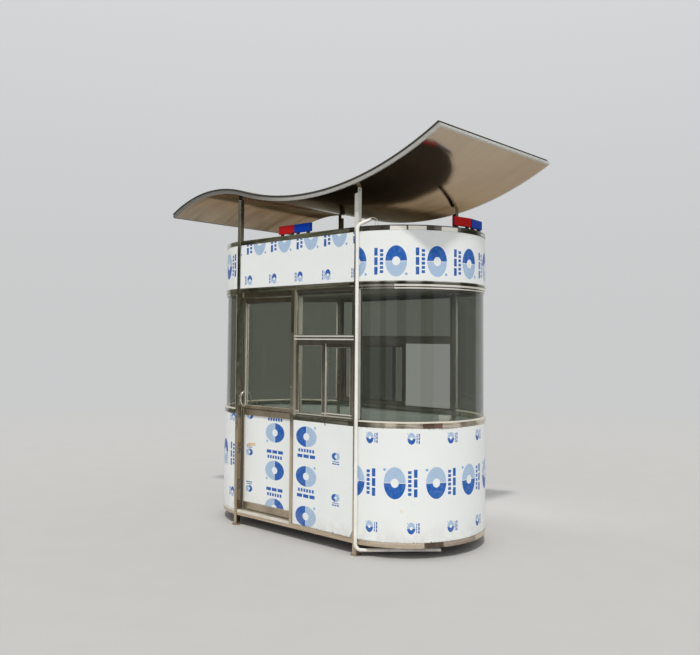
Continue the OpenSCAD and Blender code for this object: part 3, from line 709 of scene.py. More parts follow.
def rail_steel():
    made, graph, skin, place = start_finish("polished_rail")
    x, y, z = graph.split(place)
    dark, light = rail_tones(graph, x, z)
    shine = use(graph, TUBE_SHINE, Position=place, Stretch=(2.6, 2.6, 62), Dark=dark, Light=light,
                Light_share=0.5)
    zones = {**arc_zones(graph, x, y, z), **edge_zones(graph, x, z)}
    # Painted shade: a grey reflection low on the round end, and the sill's face darker.
    colour = graph.tint(zones["low_grey"], shine["Colour"], (0.62, 0.60, 0.62))
    colour = graph.tint(zones["sill"], colour, (0.62, 0.62, 0.62))
    for zone, strength, tone in RAIL_LAYERS:
        colour = graph.mix(graph.times(zones[zone], strength), colour, tone)
    colour, dust = dusted(graph, place, colour, 0.22, 0.4)
    blank = graph.most(dust, *[graph.times(zones[zone], share) for zone, share in RAIL_BLANKS])
    graph.feed(skin, Base_Color=colour, Metallic=graph.rest(blank),
               Roughness=graph.line(blank, 0.5, shine["Roughness"]),
               Normal=bump(graph, shine["Height"], 0.12, 0.0006))
    return made


dress(rail_steel(), "bottom_rail", "sill_rail", "head_rail", "top_rail", "glazing_frames")

# %% [markdown]
# The canopy's underside is a mirror-polished sheet, and its brown base colour is a painted reflection
# of the ground that it looks down on. A perfect mirror would be simpler, but a thin sheet is never
# flat, so a slow noise bends its reflections, and rain has left stains. A broad band over its middle
# gets a dark painted reflection and its far right end a bright one. Its top is weathered and holds
# dust, and one finish covers both, because it asks which way a face looks.

# %% Finish: canopy sheet
REFLECTED_DARK_FROM = (-1.1, -0.05)
REFLECTED_DARK_TO = (0.22, 0.62)
REFLECTED_BRIGHT_X = (0.62, 1.0)


def soffit_colour(graph, place):
    # Painted reflection of the ground: the underside's brown base colour.
    cloud = graph.grain(place, (0.9, 2.6, 0.9), 5.0, 0.6, 0.6)
    colour = graph.mix(graph.ramp(cloud, 0.32, 0.66), (0.27, 0.22, 0.17), (0.42, 0.355, 0.28))
    stain = graph.grain(place, (0.8, 9.0, 0.8), 4.0, 0.65)
    colour = graph.tint(graph.ramp(stain, 0.45, 0.72), colour, (0.72, 0.68, 0.62))
    along = graph.split(place)[0]
    # Painted reflections: a dark band over the middle and a bright far right end.
    reflected_dark = graph.times(graph.ramp(along, *REFLECTED_DARK_FROM), graph.fall(along, *REFLECTED_DARK_TO))
    colour = graph.tint(reflected_dark, colour, (0.27, 0.26, 0.25))
    return graph.mix(graph.times(graph.ramp(along, *REFLECTED_BRIGHT_X), 0.7), colour, (0.66, 0.555, 0.43))


def canopy_sheet():
    made, graph, skin, place = start_finish("canopy_mirror_sheet")
    spots = graph.ramp(graph.noise(place, 26.0, 5.0, 0.7), 0.62, 0.75)
    colour = graph.mix(graph.times(spots, 0.35), soffit_colour(graph, place), (0.22, 0.18, 0.14))
    top = graph.ramp(graph.split(graph.facing())[2], 0.2, 0.8)
    rain = graph.grain(place, (1.2, 7.0, 1.2), 5.0, 0.6, 0.3)
    weathered = graph.mix(rain, (0.33, 0.30, 0.265), (0.43, 0.40, 0.355))
    colour = graph.mix(graph.times(top, 0.85), colour, weathered)
    colour, dust = dusted(graph, place, colour, 0.05, 0.30)
    dull = graph.most(dust, graph.times(top, 0.72))
    graph.feed(skin, Base_Color=colour, Specular_Tint=(0.62, 0.50, 0.39),
               Metallic=graph.rest(graph.times(dull, 0.9)),
               Roughness=graph.line(dull, 0.55, graph.line(spots, 0.12, 0.12)),
               Normal=bump(graph, graph.noise(place, 2.3, 1.0), 0.35, 0.012))
    return made


dress(canopy_sheet(), "canopy_panel")

# %% [markdown]
# The canopy's edge section has a thin lip, a dark groove and a light ribbed band. Which one a point
# lies on depends on its depth below the top face, and that face is two circle arcs. Faces could be
# picked and painted one by one, but the depth is simply the point's distance from an arc's centre
# against the arc's radius, so a few maths nodes paint the band round the whole wave.

# %% Finish: canopy edge
CREST_X = MID - 0.945
CREST_Z = 2.980
CREST_R = 1.400
DIP_X = MID + 0.237
DIP_Z = 2.805
WAVE_TURN = 2 * math.atan((CREST_Z - DIP_Z) / (DIP_X - CREST_X))
DIP_R = (DIP_X - CREST_X) / math.sin(WAVE_TURN) - CREST_R
TURN_X = CREST_X + CREST_R * math.sin(WAVE_TURN)
LIP_DEPTH = (0.0022, 0.0032)
BAND_DEPTH = (0.0197, 0.0213)


def depth_below_wave(graph, place):
    x, _, z = graph.split(place)
    flat = graph.join(x, 0.0, z)
    crest = graph.less(CREST_R, graph.vector("DISTANCE", flat, (CREST_X, 0, CREST_Z - CREST_R)))
    dip = graph.less(graph.vector("DISTANCE", flat, (DIP_X, 0, DIP_Z + DIP_R)), DIP_R)
    on_crest = graph.under(x, TURN_X)
    return graph.plus(graph.times(on_crest, crest), graph.times(graph.rest(on_crest), dip))


def canopy_edge():
    made, graph, skin, place = start_finish("canopy_edge_section")
    depth = depth_below_wave(graph, place)
    groove = graph.times(graph.ramp(depth, *LIP_DEPTH), graph.fall(depth, *BAND_DEPTH))
    ribs = graph.grain(place, (3.0, 3.0, 150.0), 3.0)
    band = graph.mix(ribs, (0.46, 0.455, 0.42), (0.66, 0.655, 0.62))
    # Painted shade: the ribbed band is darker on the canopy's left part.
    band = graph.tint(graph.fall(graph.split(place)[0], -0.55, 0.25), band, (0.42, 0.41, 0.40))
    colour = graph.mix(groove, band, (0.085, 0.080, 0.066))
    colour, dust = dusted(graph, place, colour, 0.05, 0.8)
    graph.feed(skin, Base_Color=colour, Metallic=graph.times(graph.rest(groove), 0.35),
               Roughness=graph.line(ribs, 0.18, 0.36), Normal=bump(graph, ribs, 0.15, 0.0005))
    return made


dress(canopy_edge(), "canopy_edge_trim")
print("canopy wave turns at", round(TURN_X, 4), "dip radius", round(DIP_R, 4))

# %% [markdown]
# Window and door sections are anodised aluminium with a warm grey tone and a fine grain from extrusion.
# Their edges get painted highlights: lips that stand out, narrow faces that look to the right or up,
# and the threshold's front. Higher up the sections get painted shade, and left of a lit edge a painted
# highlight instead. A finish for each would repeat itself, so one function makes them all, and what
# differs is given.

# %% Painted highlights and painted shade on the sections
BRIGHT_SIDE = (0.86, 0.79, 0.67)
EDGE_HIGHLIGHT_TONE = (0.84, 0.81, 0.73)
SHADED_Z = (1.2, 1.9)


def edge_highlights(graph, place, lines, reveal, lip):
    """The mask of painted highlights: outward faces in the bands of height in lines, narrow faces by the
    share reveal, or everything in front of lip."""
    y = graph.split(place)[1]
    if lip is not None:
        return graph.under(y, lip)
    worn_and_lit = 0.0
    facing = graph.facing()
    if lines:
        outward = graph.vector("DOT_PRODUCT", facing, graph.stretch(place, (1, 1, 0)))
        worn_and_lit = graph.times(graph.bands(graph.split(place)[2], lines), graph.over(outward, 0.0))
    if reveal:
        right, _, up = graph.split(facing)
        narrow = graph.most(graph.ramp(right, 0.8, 0.95), graph.ramp(up, 0.8, 0.95))
        worn_and_lit = graph.most(worn_and_lit, graph.times(narrow, graph.under(y, 0.0), reveal))
    return worn_and_lit


print("worn edges take the tone", EDGE_HIGHLIGHT_TONE)


# %% Finish: anodised aluminium
def aluminium(name, dark, light, rough, lit_edge=None, lines=(), reveal=0.0, metal=0.9, lip=None):
    """Anodised section. Higher up it gets painted shade; left of lit_edge, a painted highlight instead.
    """
    made, graph, skin, place = start_finish(name)
    x, y, z = graph.split(place)
    grain = graph.noise(place, 420.0, 2.0)
    colour = graph.mix(graph.ramp(graph.noise(place, 5.0, 4.0, 0.6), 0.35, 0.65), dark, light)
    # Painted shade higher up and on the sill bead's band; a painted highlight left of lit_edge.
    shaded = graph.most(graph.ramp(z, *SHADED_Z), graph.between(z, *SILL_BEAD_Z))
    bright = 0.0
    if lit_edge is not None:
        edge = graph.times(graph.under(x, lit_edge), graph.under(y, 0.0))
        bright = graph.times(edge, 0.75)
        shaded = graph.times(shaded, graph.rest(edge))
    # Painted highlights on lips and narrow faces.
    worn_and_lit = edge_highlights(graph, place, lines, reveal, lip)
    colour = graph.mix(bright, graph.tint(shaded, colour, (0.45, 0.46, 0.45)), BRIGHT_SIDE)
    colour = graph.shade(grain, graph.mix(worn_and_lit, colour, EDGE_HIGHLIGHT_TONE), 0.95, 1.05)
    colour, dust = dusted(graph, place, colour, 0.30, 0.45)
    blank = graph.most(dust, graph.times(worn_and_lit, 0.65))
    graph.feed(skin, Base_Color=colour, Metallic=graph.times(graph.rest(blank), metal),
               Roughness=graph.line(grain, 0.08, rough), Normal=bump(graph, grain, 0.10, 0.0004))
    return made


print("one function makes all sections:", aluminium.__name__)

# %% The booth's sections
TRANSOM_LIPS_Z = ((1.6255, 1.6365), (1.6495, 1.6605))
SASH_LIPS_Z = ((1.0400, 1.0480), (1.0215, 1.0270))
WINDOW_LIT_X = 0.047
DOOR_LIT_X = -0.6635
THRESHOLD_HIGHLIGHT_Y = -0.648
dress(aluminium("window_aluminium", (0.27, 0.250, 0.205), (0.38, 0.355, 0.295), 0.26,
                lit_edge=WINDOW_LIT_X, lines=TRANSOM_LIPS_Z, reveal=0.5),
      "front_window_frame", "back_window_frame")
dress(aluminium("sash_aluminium", (0.22, 0.20, 0.155), (0.31, 0.285, 0.225), 0.28, lines=SASH_LIPS_Z,
                reveal=0.9), "front_sashes", "back_sashes")
dress(aluminium("door_aluminium", (0.40, 0.325, 0.240), (0.54, 0.445, 0.335), 0.24, lit_edge=DOOR_LIT_X,
                reveal=0.9), "door_frame", "door_track", "door_hangers")
# The threshold is worn and less metallic, and its front gets a painted highlight.
dress(aluminium("threshold_wear_and_highlight", (0.33, 0.275, 0.20), (0.46, 0.39, 0.29), 0.30,
                metal=0.45, lip=THRESHOLD_HIGHLIGHT_Y), "door_threshold")

# %% [markdown]
# The glass is clear with a grey-green body tint. Its smears could be painted on, but a plain
# transmissive shader exports best, so only its roughness varies, where fingers and rain have left
# marks. The bent panes of the ends are thicker and so a little darker.


# %% Finish: glass
def glass(name, tint):
    made, graph, skin, place = start_finish(name)
    marks = graph.ramp(graph.noise(place, 5.0, 6.0, 0.6, 0.8), 0.58, 0.80)
    graph.feed(skin, Base_Color=tint, Transmission_Weight=1.0, IOR=1.5,
               Roughness=graph.times(marks, 0.05))
    return made


dress(glass("end_glass", (0.33, 0.345, 0.305)), "end_glass_left", "end_glass_right")
dress(glass("pane_glass", (0.41, 0.425, 0.375)), "upper_panes", "sash_panes", "door_pane")

# %% [markdown]
# Inside, the wall panels have a pale grey-green lining, which shows through the glass. Outside they are
# steel sheet under the film. Two slots would part them, but the solid has one, so the finish asks which
# way a face looks: away from the booth's middle, or towards it.


# %% Finish: wall panels
def wall_panel():
    made, graph, skin, place = start_finish("wall_panel")
    outward = graph.vector("DOT_PRODUCT", graph.facing(), graph.stretch(place, (1, 1, 0)))
    outside = graph.over(outward, 0.0)
    brushed = graph.grain(place, (3, 3, 240), 3.0)
    steel = graph.mix(brushed, (0.42, 0.41, 0.38), (0.62, 0.61, 0.58))
    lining = graph.mix(graph.noise(place, 60.0, 4.0), (0.34, 0.385, 0.36), (0.415, 0.46, 0.435))
    graph.feed(skin, Base_Color=graph.mix(outside, lining, steel), Metallic=outside,
               Roughness=graph.line(outside, -0.2, 0.5), Normal=bump(graph, brushed, 0.08, 0.0004))
    return made


walls = [name for name in nodes if name.startswith(("lower_panel", "fascia"))]
dress(wall_panel(), "door_panel", *walls)

# %% [markdown]
# The plain parts follow: sheets for floor, ceiling and roof, rigid white plastic, black plastic and
# primed steel. They could each have a finish of their own, but they differ only in colour, gloss and
# roughness, so one function covers them.


# %% Finish: plain parts
def plain_part(name, dark, light, rough, speck=30.0, relief=0.2, reach=0.3, dust=0.4, metal=0.0,
               shaded_behind=None):
    """Where the last argument is given, the sheet gets painted shade behind that depth."""
    made, graph, skin, place = start_finish(name)
    speckle = graph.noise(place, speck, 3.0)
    colour = graph.mix(graph.ramp(graph.noise(place, 4.0, 5.0, 0.6), 0.3, 0.7), dark, light)
    colour = graph.shade(speckle, colour, 0.94, 1.05)
    if shaded_behind is not None:
        back_shade = graph.ramp(graph.split(place)[1], shaded_behind - 0.05, shaded_behind + 0.05)
        colour = graph.tint(back_shade, colour, (0.42, 0.41, 0.37))
    graph.feed(skin, Base_Color=dusted(graph, place, colour, reach, dust)[0], Metallic=metal,
               Roughness=graph.line(speckle, 0.15, rough), Normal=bump(graph, speckle, relief, 0.0008))
    return made


WHITE_PLASTIC = plain_part("white_plastic", (0.88, 0.86, 0.80), (0.95, 0.945, 0.91), 0.28,
                           speck=24, relief=0.08, reach=0.25, dust=0.35)
dress(WHITE_PLASTIC, "conduit", "conduit_clips", "socket_box", "roof_wires")
dress(plain_part("floor_sheet", (0.10, 0.10, 0.10), (0.17, 0.17, 0.165), 0.45, speck=90), "floor_plate")
# The ceiling gets painted shade behind y 0.28, so its front part stays lighter.
dress(plain_part("ceiling_sheet", (0.62, 0.60, 0.50), (0.74, 0.72, 0.60), 0.35, speck=20, metal=0.4,
                 shaded_behind=0.28), "ceiling_panel")
dress(plain_part("roof_sheet", (0.095, 0.090, 0.082), (0.125, 0.117, 0.106), 0.6, speck=40, dust=0.12),
      "roof_deck")
dress(plain_part("primed_steel", (0.12, 0.115, 0.11), (0.18, 0.17, 0.16), 0.55, speck=50), "floor_joists")
dress(plain_part("dark_plastic", (0.022, 0.020, 0.020), (0.04, 0.035, 0.033), 0.35, speck=160),
      "light_bases")

# %% [markdown]
# The warning lamps have coloured lenses that are ribbed inside, so that they glow evenly. Unlit, they
# look like deep coloured plastic with fine bars across. The ribs could be cut into the solid, but they
# lie under a smooth face, so colour and a little bump suit them better. The bars run across each lamp,
# so the front ones count them along X and the ones on the round end along Y.

# %% Finish: lenses
RIB_PITCH = 0.0085
FRONT_LAMP_Y = -0.5


def ribbed_lens(name, deep, bright):
    made, graph, skin, place = start_finish(name)
    x, y = graph.split(place)[:2]
    run = graph.node("ShaderNodeMix", {0: graph.under(y, FRONT_LAMP_Y), 2: y, 3: x}).outputs[0]
    ribs = graph.line(graph.calc("SINE", graph.times(run, 2 * math.pi / RIB_PITCH)), 0.5, 0.5)
    cloud = graph.times(graph.noise(place, 14.0, 4.0), 0.4)
    graph.feed(skin, Base_Color=graph.mix(graph.line(ribs, 0.45, cloud), deep, bright), Roughness=0.34,
               Specular_IOR_Level=0.05, Normal=bump(graph, ribs, 0.25, 0.0010))
    return made


dress(ribbed_lens("red_lens", (0.32, 0.004, 0.006), (0.62, 0.016, 0.018)), "light_lenses_red")
dress(ribbed_lens("blue_lens", (0.001, 0.022, 0.22), (0.003, 0.075, 0.60)), "light_lenses_blue")

# %% [markdown]
# The wall panels still wear their protective film: white plastic sheet, a fraction of a millimetre
# thick, printed over and over with the same marks. It could be a painted colour only, but it has edges,
# tears and corners of its own, so each panel gets a thin sheet. The marks could come from a picture,
# which blurs close up, so one mark is drawn with maths nodes and repeated. It lies on the sheet in
# metres through a UV map, so it can be turned as the real sheets were, whichever way fitted.

# %% One printed mark
RING_WIDE = 0.082
RING_TALL = 0.118
HOLE_WIDE = 0.030
HOLE_TALL = 0.034
DOT_AT = (0.098, 0.076)
DOT_R = 0.011
SOFT_EDGE = 0.0012
STRIPE_PITCH = 0.0062
STRIPE_GAP = 0.0013
SPLIT_HALF = 0.002
NEAR_ROW = ((-0.125, -0.099), 0.096, 0.032, 0.005)
FAR_ROW = ((-0.170, -0.143), 0.108, 0.072, 0.006)


def build_film_mark():
    """One mark: a two-tone ring, a dot, and two rows of short bars."""
    graph, given, out = new_group(
        "film_mark", "ShaderNodeTree", [("Across", NUMBER, 0.0), ("Along", NUMBER, 0.0)],
        [("Dark", NUMBER), ("Pale", NUMBER)])
    across, along = given["Across"], given["Along"]

    def oval(x, y, tall, wide):
        place = graph.join(graph.calc("DIVIDE", across, tall), graph.calc("DIVIDE", along, wide), 0.0)
        away = graph.vector("DISTANCE", place, (x / tall, y / wide, 0))
        return graph.fall(away, 1 - SOFT_EDGE / wide, 1 + SOFT_EDGE / wide)

    def bars(row, half, pitch, gap):
        """A row of bars from -half to half, with a gap at both ends of each pitch."""
        step = graph.calc("WRAP", graph.plus(across, half), pitch, 0.0)
        return graph.times(graph.between(step, gap, pitch - gap), graph.between(along, *row),
                           graph.between(across, -half, half))

    ring = graph.less(oval(0, 0, RING_TALL, RING_WIDE), oval(0, 0, HOLE_TALL, HOLE_WIDE))
    stripes = graph.over(graph.calc("WRAP", along, STRIPE_PITCH, 0.0), STRIPE_GAP)
    dark_half = graph.times(ring, graph.under(across, -SPLIT_HALF))
    pale_half = graph.times(ring, graph.over(across, SPLIT_HALF), stripes)
    graph.feed(out, Dark=graph.most(dark_half, graph.plus(bars(*NEAR_ROW), bars(*FAR_ROW))),
               Pale=graph.most(pale_half, oval(*DOT_AT, DOT_R, DOT_R)))
    return graph.tree


FILM_MARK = build_film_mark()
print("shared effect", FILM_MARK.name)

# %% Print on the film
MARK_ACROSS = 0.66
MARK_ALONG = 0.318
RING_END = 0.103
SMALL_SHIFT = 0.194
SMALL_SCALE = 0.37


def film_print(graph, place):
    """Masks of the dark and the pale ink. Small marks stand between the large ones."""
    wander = graph.line(graph.noise(place, 90.0, 2.0), 0.0024, -0.0012)
    printed = graph.split(graph.node("ShaderNodeUVMap", uv_map="print").outputs[0])
    across, along = graph.plus(printed[0], wander), graph.plus(printed[1], wander)
    dark, pale = [], []
    for shift_s, shift_t, scale in ((0.0, 0.0, 1.0), (MARK_ACROSS / 2, SMALL_SHIFT, SMALL_SCALE)):
        s = graph.calc("WRAP", graph.less(across, shift_s), MARK_ACROSS / 2, -MARK_ACROSS / 2)
        t = graph.calc("WRAP", graph.less(along, shift_t), RING_END, RING_END - MARK_ALONG)
        mark = use(graph, FILM_MARK, Across=graph.calc("DIVIDE", s, scale),
                   Along=graph.calc("DIVIDE", t, scale))
        dark.append(mark["Dark"])
        pale.append(mark["Pale"])
    return graph.most(*dark), graph.most(*pale)


print("film marks repeat every", MARK_ACROSS, "by", MARK_ALONG)

# %% Use has marked the film
STAIN_AT = (1.0566, -0.5301, 0.3554)
STAIN_R = (0.028, 0.046)
CHIPPED_TO = (0.130, 0.142)


def film_soil(graph, place):
    """Masks of a yellow stain and of chips along the lower edge."""
    ragged = graph.times(graph.noise(place, 40.0, 3.0), 0.05)
    away = graph.plus(graph.vector("DISTANCE", place, STAIN_AT), ragged)
    flakes = graph.ramp(graph.noise(place, 75.0, 2.0), 0.62, 0.66)
    return graph.fall(away, *STAIN_R), graph.times(flakes, graph.fall(graph.split(place)[2], *CHIPPED_TO))


def film_relief(graph, place):
    """Creases, where a slow noise crosses its middle, and small bubbles."""
    crease = graph.calc("ABSOLUTE", graph.less(graph.grain(place, (3.2, 3.2, 1.3), 2.0, 0.4, 1.6), 0.5))
    bubble = graph.node("ShaderNodeTexVoronoi", {"Vector": place, "Scale": 15.0}, feature="SMOOTH_F1")
    bubble = graph.times(graph.fall(bubble.outputs["Distance"], 0.05, 0.24), 0.3)
    return graph.line(graph.fall(crease, 0.0, 0.03), 0.5, bubble)


print("stain at", STAIN_AT)


# %% Finish: film
def printed_film():
    made, graph, skin, place = start_finish("protective_film")
    dark, pale = film_print(graph, place)
    stain, chips = film_soil(graph, place)
    worn_and_lit = graph.line(graph.noise(place, 35.0, 5.0, 0.7), 0.35, 0.80)
    smudge = graph.ramp(graph.noise(place, 7.0, 6.0, 0.7, 0.6), 0.60, 0.78)
    colour = graph.mix(graph.noise(place, 3.0, 5.0), (0.83, 0.855, 0.84), (0.89, 0.91, 0.90))
    for mask, strength, tone in (
            (smudge, 0.22, (0.50, 0.49, 0.47)),
            (pale, worn_and_lit, (0.28, 0.455, 0.70)),
            (dark, worn_and_lit, (0.001, 0.105, 0.45)),
            (stain, 0.5, (0.80, 0.62, 0.24)),
            (chips, 1.0, (0.22, 0.16, 0.12))):
        colour = graph.mix(graph.times(mask, strength), colour, tone)
    colour = dusted(graph, place, colour, 0.34, 0.30)[0]
    graph.feed(skin, Base_Color=colour, IOR=1.5, Specular_IOR_Level=0.3,
               Roughness=graph.line(smudge, 0.2, 0.36),
               Normal=bump(graph, film_relief(graph, place), 0.22, 0.0015))
    return made


FILM = printed_film()
print("finish", FILM.name)

# %% [markdown]
# A sheet is a grid over its panel. A cut-out copy of the panel's face would do for a flat one, but a
# grid can also bend, tear and curl. A flat panel and a round end differ only in where a point at (u, v)
# lies, so one function makes both. Torn edges are made of noise that eats into the grid's rim, and the
# same noise lifts the rim a little, because torn film curls. Solidify gives the sheet its thickness.

# %% Where a sheet's points lie
LIFT = 0.0005
FILM_T = 0.0004
EDGE = 0.0015
ROWS = (0, 0.004, 0.012, 0.03, 0.1, 0.25, 0.4, 0.6, 0.75, 0.9, 0.97, 0.988, 0.996, 1)
COLUMN_W = 0.006
TEAR = 0.0012
CURL_REACH = 0.012
CURL_SLOPE = 0.14
CURL_MOST = 0.0012


def flat_panel(x_sign, face):
    """A flat panel that faces the front or the back; u runs to the right as seen from outside."""
    return lambda u, v, out: Vector((MID + x_sign * u, -x_sign * (face + out), v))


def round_end(x_sign):
    """A round end; u is the arc's length from its middle, to the right as seen from outside."""
    def put(u, v, out):
        turn = u / END_R
        reach = END_R + out
        x = END_X + reach * math.cos(turn)
        return Vector((MID + x_sign * x, x_sign * reach * math.sin(turn), v))
    return put


def torn(u, seed, depth):
    """How far noise eats into an edge at u: slow bites and finer ones on them."""
    ragged = noise.noise((u * 55, seed, 0)) + 0.6 * noise.noise((u * 150, seed, 3))
    return depth * max(0.0, 0.35 + ragged)


print("film", FILM_T, "m thick, in", len(ROWS), "rows")


# %% Film sheets
def sheet_grid(put, u_range, v_range, turned, low_edge, high_edge):
    columns = max(2, round((u_range[1] - u_range[0]) / COLUMN_W))
    verts, uvs = [], []
    for i in range(columns + 1):
        u = u_range[0] + (u_range[1] - u_range[0]) * i / columns
        cut_low, cut_high = low_edge(u), high_edge(u)
        low, high = v_range[0] + cut_low, v_range[1] - cut_high
        for share in ROWS:
            v = low + (high - low) * share
            near_low = max(0.0, 1 - (v - low) / CURL_REACH)
            near_high = max(0.0, 1 - (high - v) / CURL_REACH)
            curl = CURL_SLOPE * (near_low * cut_low + near_high * cut_high)
            verts.append(put(u, v, LIFT + min(CURL_MOST, curl)))
            uvs.append(turned(u, v))
    rows = len(ROWS)
    corners = [i * rows + k for i in range(columns) for k in range(rows - 1)]
    return verts, uvs, [(a, a + rows, a + rows + 1, a + 1) for a in corners]


def thicken(piece, thickness, offset):
    wall = piece.modifiers.new("thickness", "SOLIDIFY")
    wall.thickness = thickness
    wall.offset = offset


def hand_over(piece, slot, body):
    """Every finished piece rides on the body that it is given; the slot argument is not used."""
    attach(piece, body)
    return piece


def film_sheet(name, body, put, u_range, v_range, turned, low_edge=None, high_edge=None, seed=1.0):
    low_edge = low_edge or (lambda u: torn(u, seed, TEAR))
    high_edge = high_edge or (lambda u: torn(u, seed + 5, TEAR))
    verts, uvs, faces = sheet_grid(put, u_range, v_range, turned, low_edge, high_edge)
    sheet = mesh_object(name, verts, faces, FILM)
    layer = sheet.data.uv_layers.new(name="print")
    for loop in sheet.data.loops:
        layer.data[loop.index].uv = uvs[loop.vertex_index]
    for face in sheet.data.polygons:
        face.use_smooth = True
    thicken(sheet, FILM_T, -1)
    hand_over(sheet, "filmed_panel", body)
    print(name, round(u_range[1] - u_range[0], 3), "by", round(v_range[1] - v_range[0], 3))


# %% Ways to turn the print
def upright(u0, v0):
    return lambda u, v: (u - u0, v - v0)


def turned_over(u0, v0):
    return lambda u, v: (u0 - u, v0 - v)


def turned_left(u0, v0):
    return lambda u, v: (v - v0, u0 - u)


def turned_right(u0, v0):
    return lambda u, v: (v0 - v, u - u0)


ways = (upright, turned_over, turned_left, turned_right)
print("the print can lie", ", ".join(way.__name__ for way in ways))

# %% Film on the front
BAY_TOP_GAP = 0.003
CLIP_FROM = 0.655
CLIP_RISE = 0.055 / 0.03


def clipped_corner(u):
    """The bay's sheet is cut off at its lower right corner and has come loose along the bottom."""
    return max(torn(u, 2.0, 0.0015), CLIP_RISE * (u - CLIP_FROM))


def sheet_span(low, high, top=EDGE):
    """The u and v ranges of a sheet on a flat panel."""
    return (low.x - MID + EDGE, high.x - MID - EDGE), (low.z + EDGE, high.z - top)


panel_low, panel_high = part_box("lower_panel_front")
door_low, door_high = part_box("door_panel")
fascia_low, fascia_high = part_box("fascia_front")
FRONT = flat_panel(1, -panel_low.y)
film_sheet("film_front_bay", "booth", FRONT, *sheet_span(panel_low, panel_high, BAY_TOP_GAP),
           upright(0.174, 0.843), low_edge=clipped_corner)
film_sheet("film_door", "door", flat_panel(1, -door_low.y), *sheet_span(door_low, door_high),
           turned_over(-0.276, 0.83), seed=3.0)
film_sheet("film_fascia_front", "booth", FRONT, *sheet_span(fascia_low, fascia_high),
           turned_right(-0.749, 2.475), seed=4.0)

# %% Film on the ends
TORN_MID = -0.27
TORN_HALF = 0.24


def torn_top(u):
    """Along part of the right end the sheet is torn off under the sill."""
    bare = 0.5 + 0.5 * math.cos(math.pi * min(1.0, abs(u - TORN_MID) / TORN_HALF))
    return torn(u, 6.0, 0.004) + torn(u, 8.0, 0.016) * bare


arc_half = END_R * math.asin(PANEL_FACE / END_R) - 0.003
ARC_SPAN = (-arc_half, arc_half)
LOW_Z = (panel_low.z + EDGE, panel_high.z - EDGE)
HIGH_Z = (fascia_low.z + EDGE, fascia_high.z - EDGE)
film_sheet("film_right_end", "booth", round_end(1), ARC_SPAN, LOW_Z, turned_left(-0.665, 0.565),
           high_edge=torn_top)
film_sheet("film_fascia_right", "booth", round_end(1), ARC_SPAN, HIGH_Z, turned_right(-0.662, 2.225),
           seed=7.0)
film_sheet("film_left_end", "booth", round_end(-1), ARC_SPAN, LOW_Z, turned_right(0.74, 0.61), seed=9.0)
film_sheet("film_fascia_left", "booth", round_end(-1), ARC_SPAN, HIGH_Z, turned_left(0.77, 2.29),
           seed=11.0)

# %% Film on the back
BACK = flat_panel(-1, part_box("lower_panel_back")[1].y)
back_half = (fascia_high.x - fascia_low.x) / 2 - EDGE
back_mid = MID - (fascia_high.x + fascia_low.x) / 2
BACK_SPAN = (back_mid - back_half, back_mid + back_half)
film_sheet("film_back", "booth", BACK, BACK_SPAN, LOW_Z, upright(-0.1, 0.82), seed=13.0)
film_sheet("film_fascia_back", "booth", BACK, BACK_SPAN, HIGH_Z, turned_right(-0.62, 2.30), seed=15.0)

# %% [markdown]
# Small things come next: beads, gaskets, screws, bolts and welds. There are hundreds of them, and all
# of one kind are alike. They could be copied one by one, but then no size could be changed later. A
# bead follows a path and a screw sits on a point, so Geometry Nodes make them: a seed mesh says where,
# a tree says what. The tree's sizes are named inputs. When it has run, its result is kept as a plain
# mesh.


# %% Growing pieces from seeds
def finished_tree(graph, shape, skin, out):
    """Every tree ends the same way: real geometry with its finish."""
    real = graph.node("GeometryNodeRealizeInstances", {"Geometry": shape}).outputs[0]
    dressed = graph.node("GeometryNodeSetMaterial", {"Geometry": real, "Material": skin}).outputs[0]
    graph.feed(out, Geometry=dressed)


def run_tree(name, seed, tree, sizes):
    """The plain mesh that a tree makes of a seed mesh."""
    maker = link(bpy.data.objects.new(name + "_seed", seed))
    steps = maker.modifiers.new("grow", "NODES")
    steps.node_group = tree
    for socket in tree.interface.items_tree:
        if socket.item_type == "SOCKET" and socket.in_out == "INPUT" and socket.name in sizes:
            steps[socket.identifier] = sizes[socket.name]
    bpy.context.view_layer.update()
    ready = maker.evaluated_get(bpy.context.evaluated_depsgraph_get())
    mesh = bpy.data.meshes.new_from_object(ready)
    maker.modifiers.remove(steps)
    bpy.data.objects.remove(maker)
    return mesh


def clean_mesh(mesh, finish):
    """Faces look outwards and share one slot; a cut in a tree leaves an empty one before it."""
    work = bmesh.new()
    work.from_mesh(mesh)
    bmesh.ops.recalc_face_normals(work, faces=work.faces)
    for face in work.faces:
        face.material_index = 0
    work.to_mesh(mesh)
    work.free()
    mesh.materials.clear()
    mesh.materials.append(finish)


def grow(name, seed, tree, body, slot, **sizes):
    """Run a tree on a seed mesh and let the result ride on a body."""
    mesh = run_tree(name, seed, tree, sizes)
    clean_mesh(mesh, sizes["Finish"])
    hand_over(link(bpy.data.objects.new(name, mesh)), slot, body)
    print(name, len(mesh.polygons), "faces in", sizes["Finish"].name)


# %% [markdown]
# Each pane is held by a bright aluminium bead outside and sealed by black rubber on both faces. Both
# could be bevelled curves, but a tree that sweeps a ring along a path with rounded corners makes all of
# them at once. Their paths are the pane's opening, a few millimetres inwards, and lie just in front of
# the glass.


